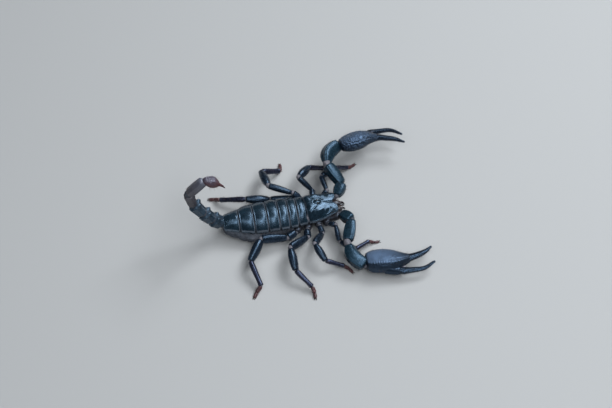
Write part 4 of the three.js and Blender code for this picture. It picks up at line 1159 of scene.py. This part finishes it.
def draw_skin():
    """All the soft parts as one even skin: its spots, the outward way at each, and its faces."""
    spots, faces = joined(soft_parts)
    mesh = bpy.data.meshes.new("soft")
    mesh.from_pydata((spots * 0.001).tolist(), [], [[k for k in face if k >= 0] for face in faces.tolist()])
    body = bpy.data.objects.new("soft", mesh)
    bpy.context.scene.collection.objects.link(body)
    remesh = body.modifiers.new("even", "REMESH")
    remesh.mode = "VOXEL"
    remesh.voxel_size = SKIN_MESH * 0.001
    remesh.adaptivity = 0
    even_out = body.modifiers.new("smooth", "SMOOTH")
    even_out.factor, even_out.iterations = 0.5, 4
    made = body.evaluated_get(bpy.context.evaluated_depsgraph_get()).to_mesh()
    spots, ways = (read(made.vertices, what, float, 3).reshape(-1, 3) for what in ("co", "normal"))
    faces = read(made.loops, "vertex_index", np.int32).reshape(-1, 4)
    bpy.data.objects.remove(body)
    bpy.data.meshes.remove(mesh)
    return spots * 1000, ways, faces


spots, ways, faces = draw_skin()
x, y, z = spots.T
# The folds and creases lie in the abdomen's sides, between the back plates and the belly.
flank = held((np.abs(y) - 5) / 2) * held((-x - 0.5) / 2) * held(7.4 - z)
flank = flank * held((10.2 - np.abs(y)) * 4) * held((x + 38.5) / 3) * held(z - 1.6)
folds = 0.5 + 0.5 * np.sin(x * 1.55 + 2.2 * swells(spots, 3.0, 3) + 0.4 * z)
creases = 0.5 + 0.5 * np.sin(z * 5.5 + 3.0 * swells(spots, 2.2, 4))
spots = spots + ways * (-flank * (0.32 * folds**3 + 0.14 * creases))[:, None]
pale = np.zeros(len(spots))
for cx, cy, cz, reach, strength in pale_joints:
    off = (x - cx) ** 2 + (y - cy) ** 2 + (z - cz) ** 2
    pale = np.maximum(pale, strength * held(1.6 - np.sqrt(off) / reach))
on_back = held((z - 7.6) / 0.6) * (np.abs(y) < 8.6) * (x < 2.4) * (x > -38)
pale = np.maximum(pale, on_back * 0.75 * held((x + 3) / 3) ** 2)
pale = np.maximum(pale, 0.12 * flank * folds)
make("skin", (spots, faces), skin_finish, ["belly"], pale)

# ---- Bristles ----
# Sparse stiff red-brown bristles that feel air and ground, each a thin tapered spine grown from
# the shell, most on the palms, the sting bulb and the jaws.

bristle_stuff = cloudy_finish("bristle_stuff", (0.07, 0.028, 0.016), (0.20, 0.09, 0.05), 0.5, (0.34, 0.5),
                              (1.5, 0.4, 0.1), 0.004)
BRISTLE_RADIUS = 0.035
# How far inside the box round the model's solids each tip has to stay.
EDGE = 0.05


def bristle_coat():
    """All bristles as one part, with a patch for each at its root's place on an unwrap of its limb."""
    random = np.random.default_rng(7)
    lowest, highest = (np.array(corner) * 1000 - waist for corner in cad_box)
    columns = math.ceil(math.sqrt(len(bristle_roots)))
    all_spots, all_faces, patches = [], [], []
    for n, (rings, number, short, long, lie, (low, high), (start, stop)) in enumerate(bristle_roots):
        out = outward_of(rings)
        rows, sides = rings.shape[:2]
        for _ in range(number):
            i = int((low + (high - low) * random.random()) * (rows - 1))
            j = int((start + (stop - start) * random.random()) / 360 * sides) % sides
            root, grow = rings[i, j], out[i, j]
            way = unit(grow + np.asarray(lie) * 0.9 + random.normal(0, 0.12, 3))
            length = short + (long - short) * random.random()
            bow = unit(np.asarray(lie) + 1e-6) * length * 0.12
            tip = root + way * length + bow
            outside = (tip < lowest + EDGE).any() or (tip > highest - EDGE).any()
            if root[2] < 0.3 or tip[2] < 0.12 or outside:
                continue
            first = len(all_spots)
            flat = unit(np.cross(way, (0.31, 0.57, 0.76)))
            other = np.cross(way, flat)
            for share, thick in ((-0.06, 1.0), (0.35, 0.8), (0.7, 0.5), (1.0, 0.12)):
                middle = root + way * length * share + bow * share**2
                for angle in (0, math.tau / 3, 2 * math.tau / 3):
                    round_it = flat * math.cos(angle) + other * math.sin(angle)
                    all_spots.append(middle + round_it * BRISTLE_RADIUS * thick)
            all_faces += [tuple(first + level + k for k in corners) for level in (0, 3, 6)
                          for corners in ((0, 1, 4, 3), (1, 2, 5, 4), (2, 0, 3, 5))]
            all_faces += [(first + 2, first + 1, first, -1), (first + 9, first + 10, first + 11, -1)]
            u = (n % columns + 0.04 + 0.92 * i / rows) / columns
            v = (n // columns + 0.04 + 0.92 * j / sides) / columns
            patches += [(u + 0.003 * (k % 3) / 2, v + 0.003 * (k // 3) / 3) for k in range(12)]
    return np.array(all_spots), np.array(all_faces), np.array(patches)


spots, faces, patches = bristle_coat()
bristles = make("bristles", (spots, faces), bristle_stuff)
unwrap = bristles.data.uv_layers.new(name="OFBake")
corners = read(bristles.data.loops, "vertex_index", np.int32)
unwrap.data.foreach_set("uv", patches[corners].astype(np.float32).ravel())

# ---- Floor, lights and camera ----
# A plain pale studio floor under three soft panels of cool light, whose reflections lie along the
# upward faces of the shell, with a dim even surround. The camera looks down from the right side.

FLOOR_SIZE = 6
bpy.ops.mesh.primitive_plane_add(size=FLOOR_SIZE)
floor = bpy.context.object
floor.name = "floor"
floor.data.materials.append(finish_of("floor_paint", (0.425, 0.428, 0.427), 0.9, 0.2)[0])

bpy.context.scene.view_settings.view_transform = "Standard"
world = bpy.data.worlds.new("studio")
bpy.context.scene.world = world
world.use_nodes = True
surround = world.node_tree.nodes["Background"].inputs
surround["Color"].default_value = (0.80, 0.89, 1.0, 1)
surround["Strength"].default_value = 0.10

# Of each panel: its place and size in metres, and its power in watts. It faces the model.
for name, spot, size, power in (("back_panel", (0.555, 0.385, 0.74), (0.50, 0.40), 7.4),
                                ("long_panel", (0.36, -0.24, 0.88), (1.1, 0.30), 6.2),
                                ("front_panel", (-0.20, -0.50, 0.84), (0.9, 0.5), 3.0)):
    data = bpy.data.lights.new(name, "AREA")
    data.shape = "RECTANGLE"
    data.size, data.size_y = size
    data.energy = power
    data.color = (0.92, 0.96, 1.0)
    light = bpy.data.objects.new(name, data)
    bpy.context.scene.collection.objects.link(light)
    light.location = spot
    light.rotation_euler = (-light.location).to_track_quat("-Z", "Y").to_euler()

# The camera's turn from square to the right side, its rise over the floor, and how far off it is
# in metres.
VIEW_TURN = math.radians(-11)
VIEW_RISE = math.radians(55)
VIEW_FAR = 0.75
camera = bpy.data.cameras.new("camera")
camera.lens = 94.85
camera.sensor_width = 36
eye = bpy.data.objects.new("camera", camera)
bpy.context.scene.collection.objects.link(eye)
aim = Vector((waist + (1.5, 4.5, 6)) * 0.001)
flat = math.cos(VIEW_RISE)
back = Vector((math.sin(VIEW_TURN) * flat, -math.cos(VIEW_TURN) * flat, math.sin(VIEW_RISE)))
eye.location = aim + back * VIEW_FAR
eye.rotation_euler = (-back).to_track_quat("-Z", "Y").to_euler()
bpy.context.scene.camera = eye
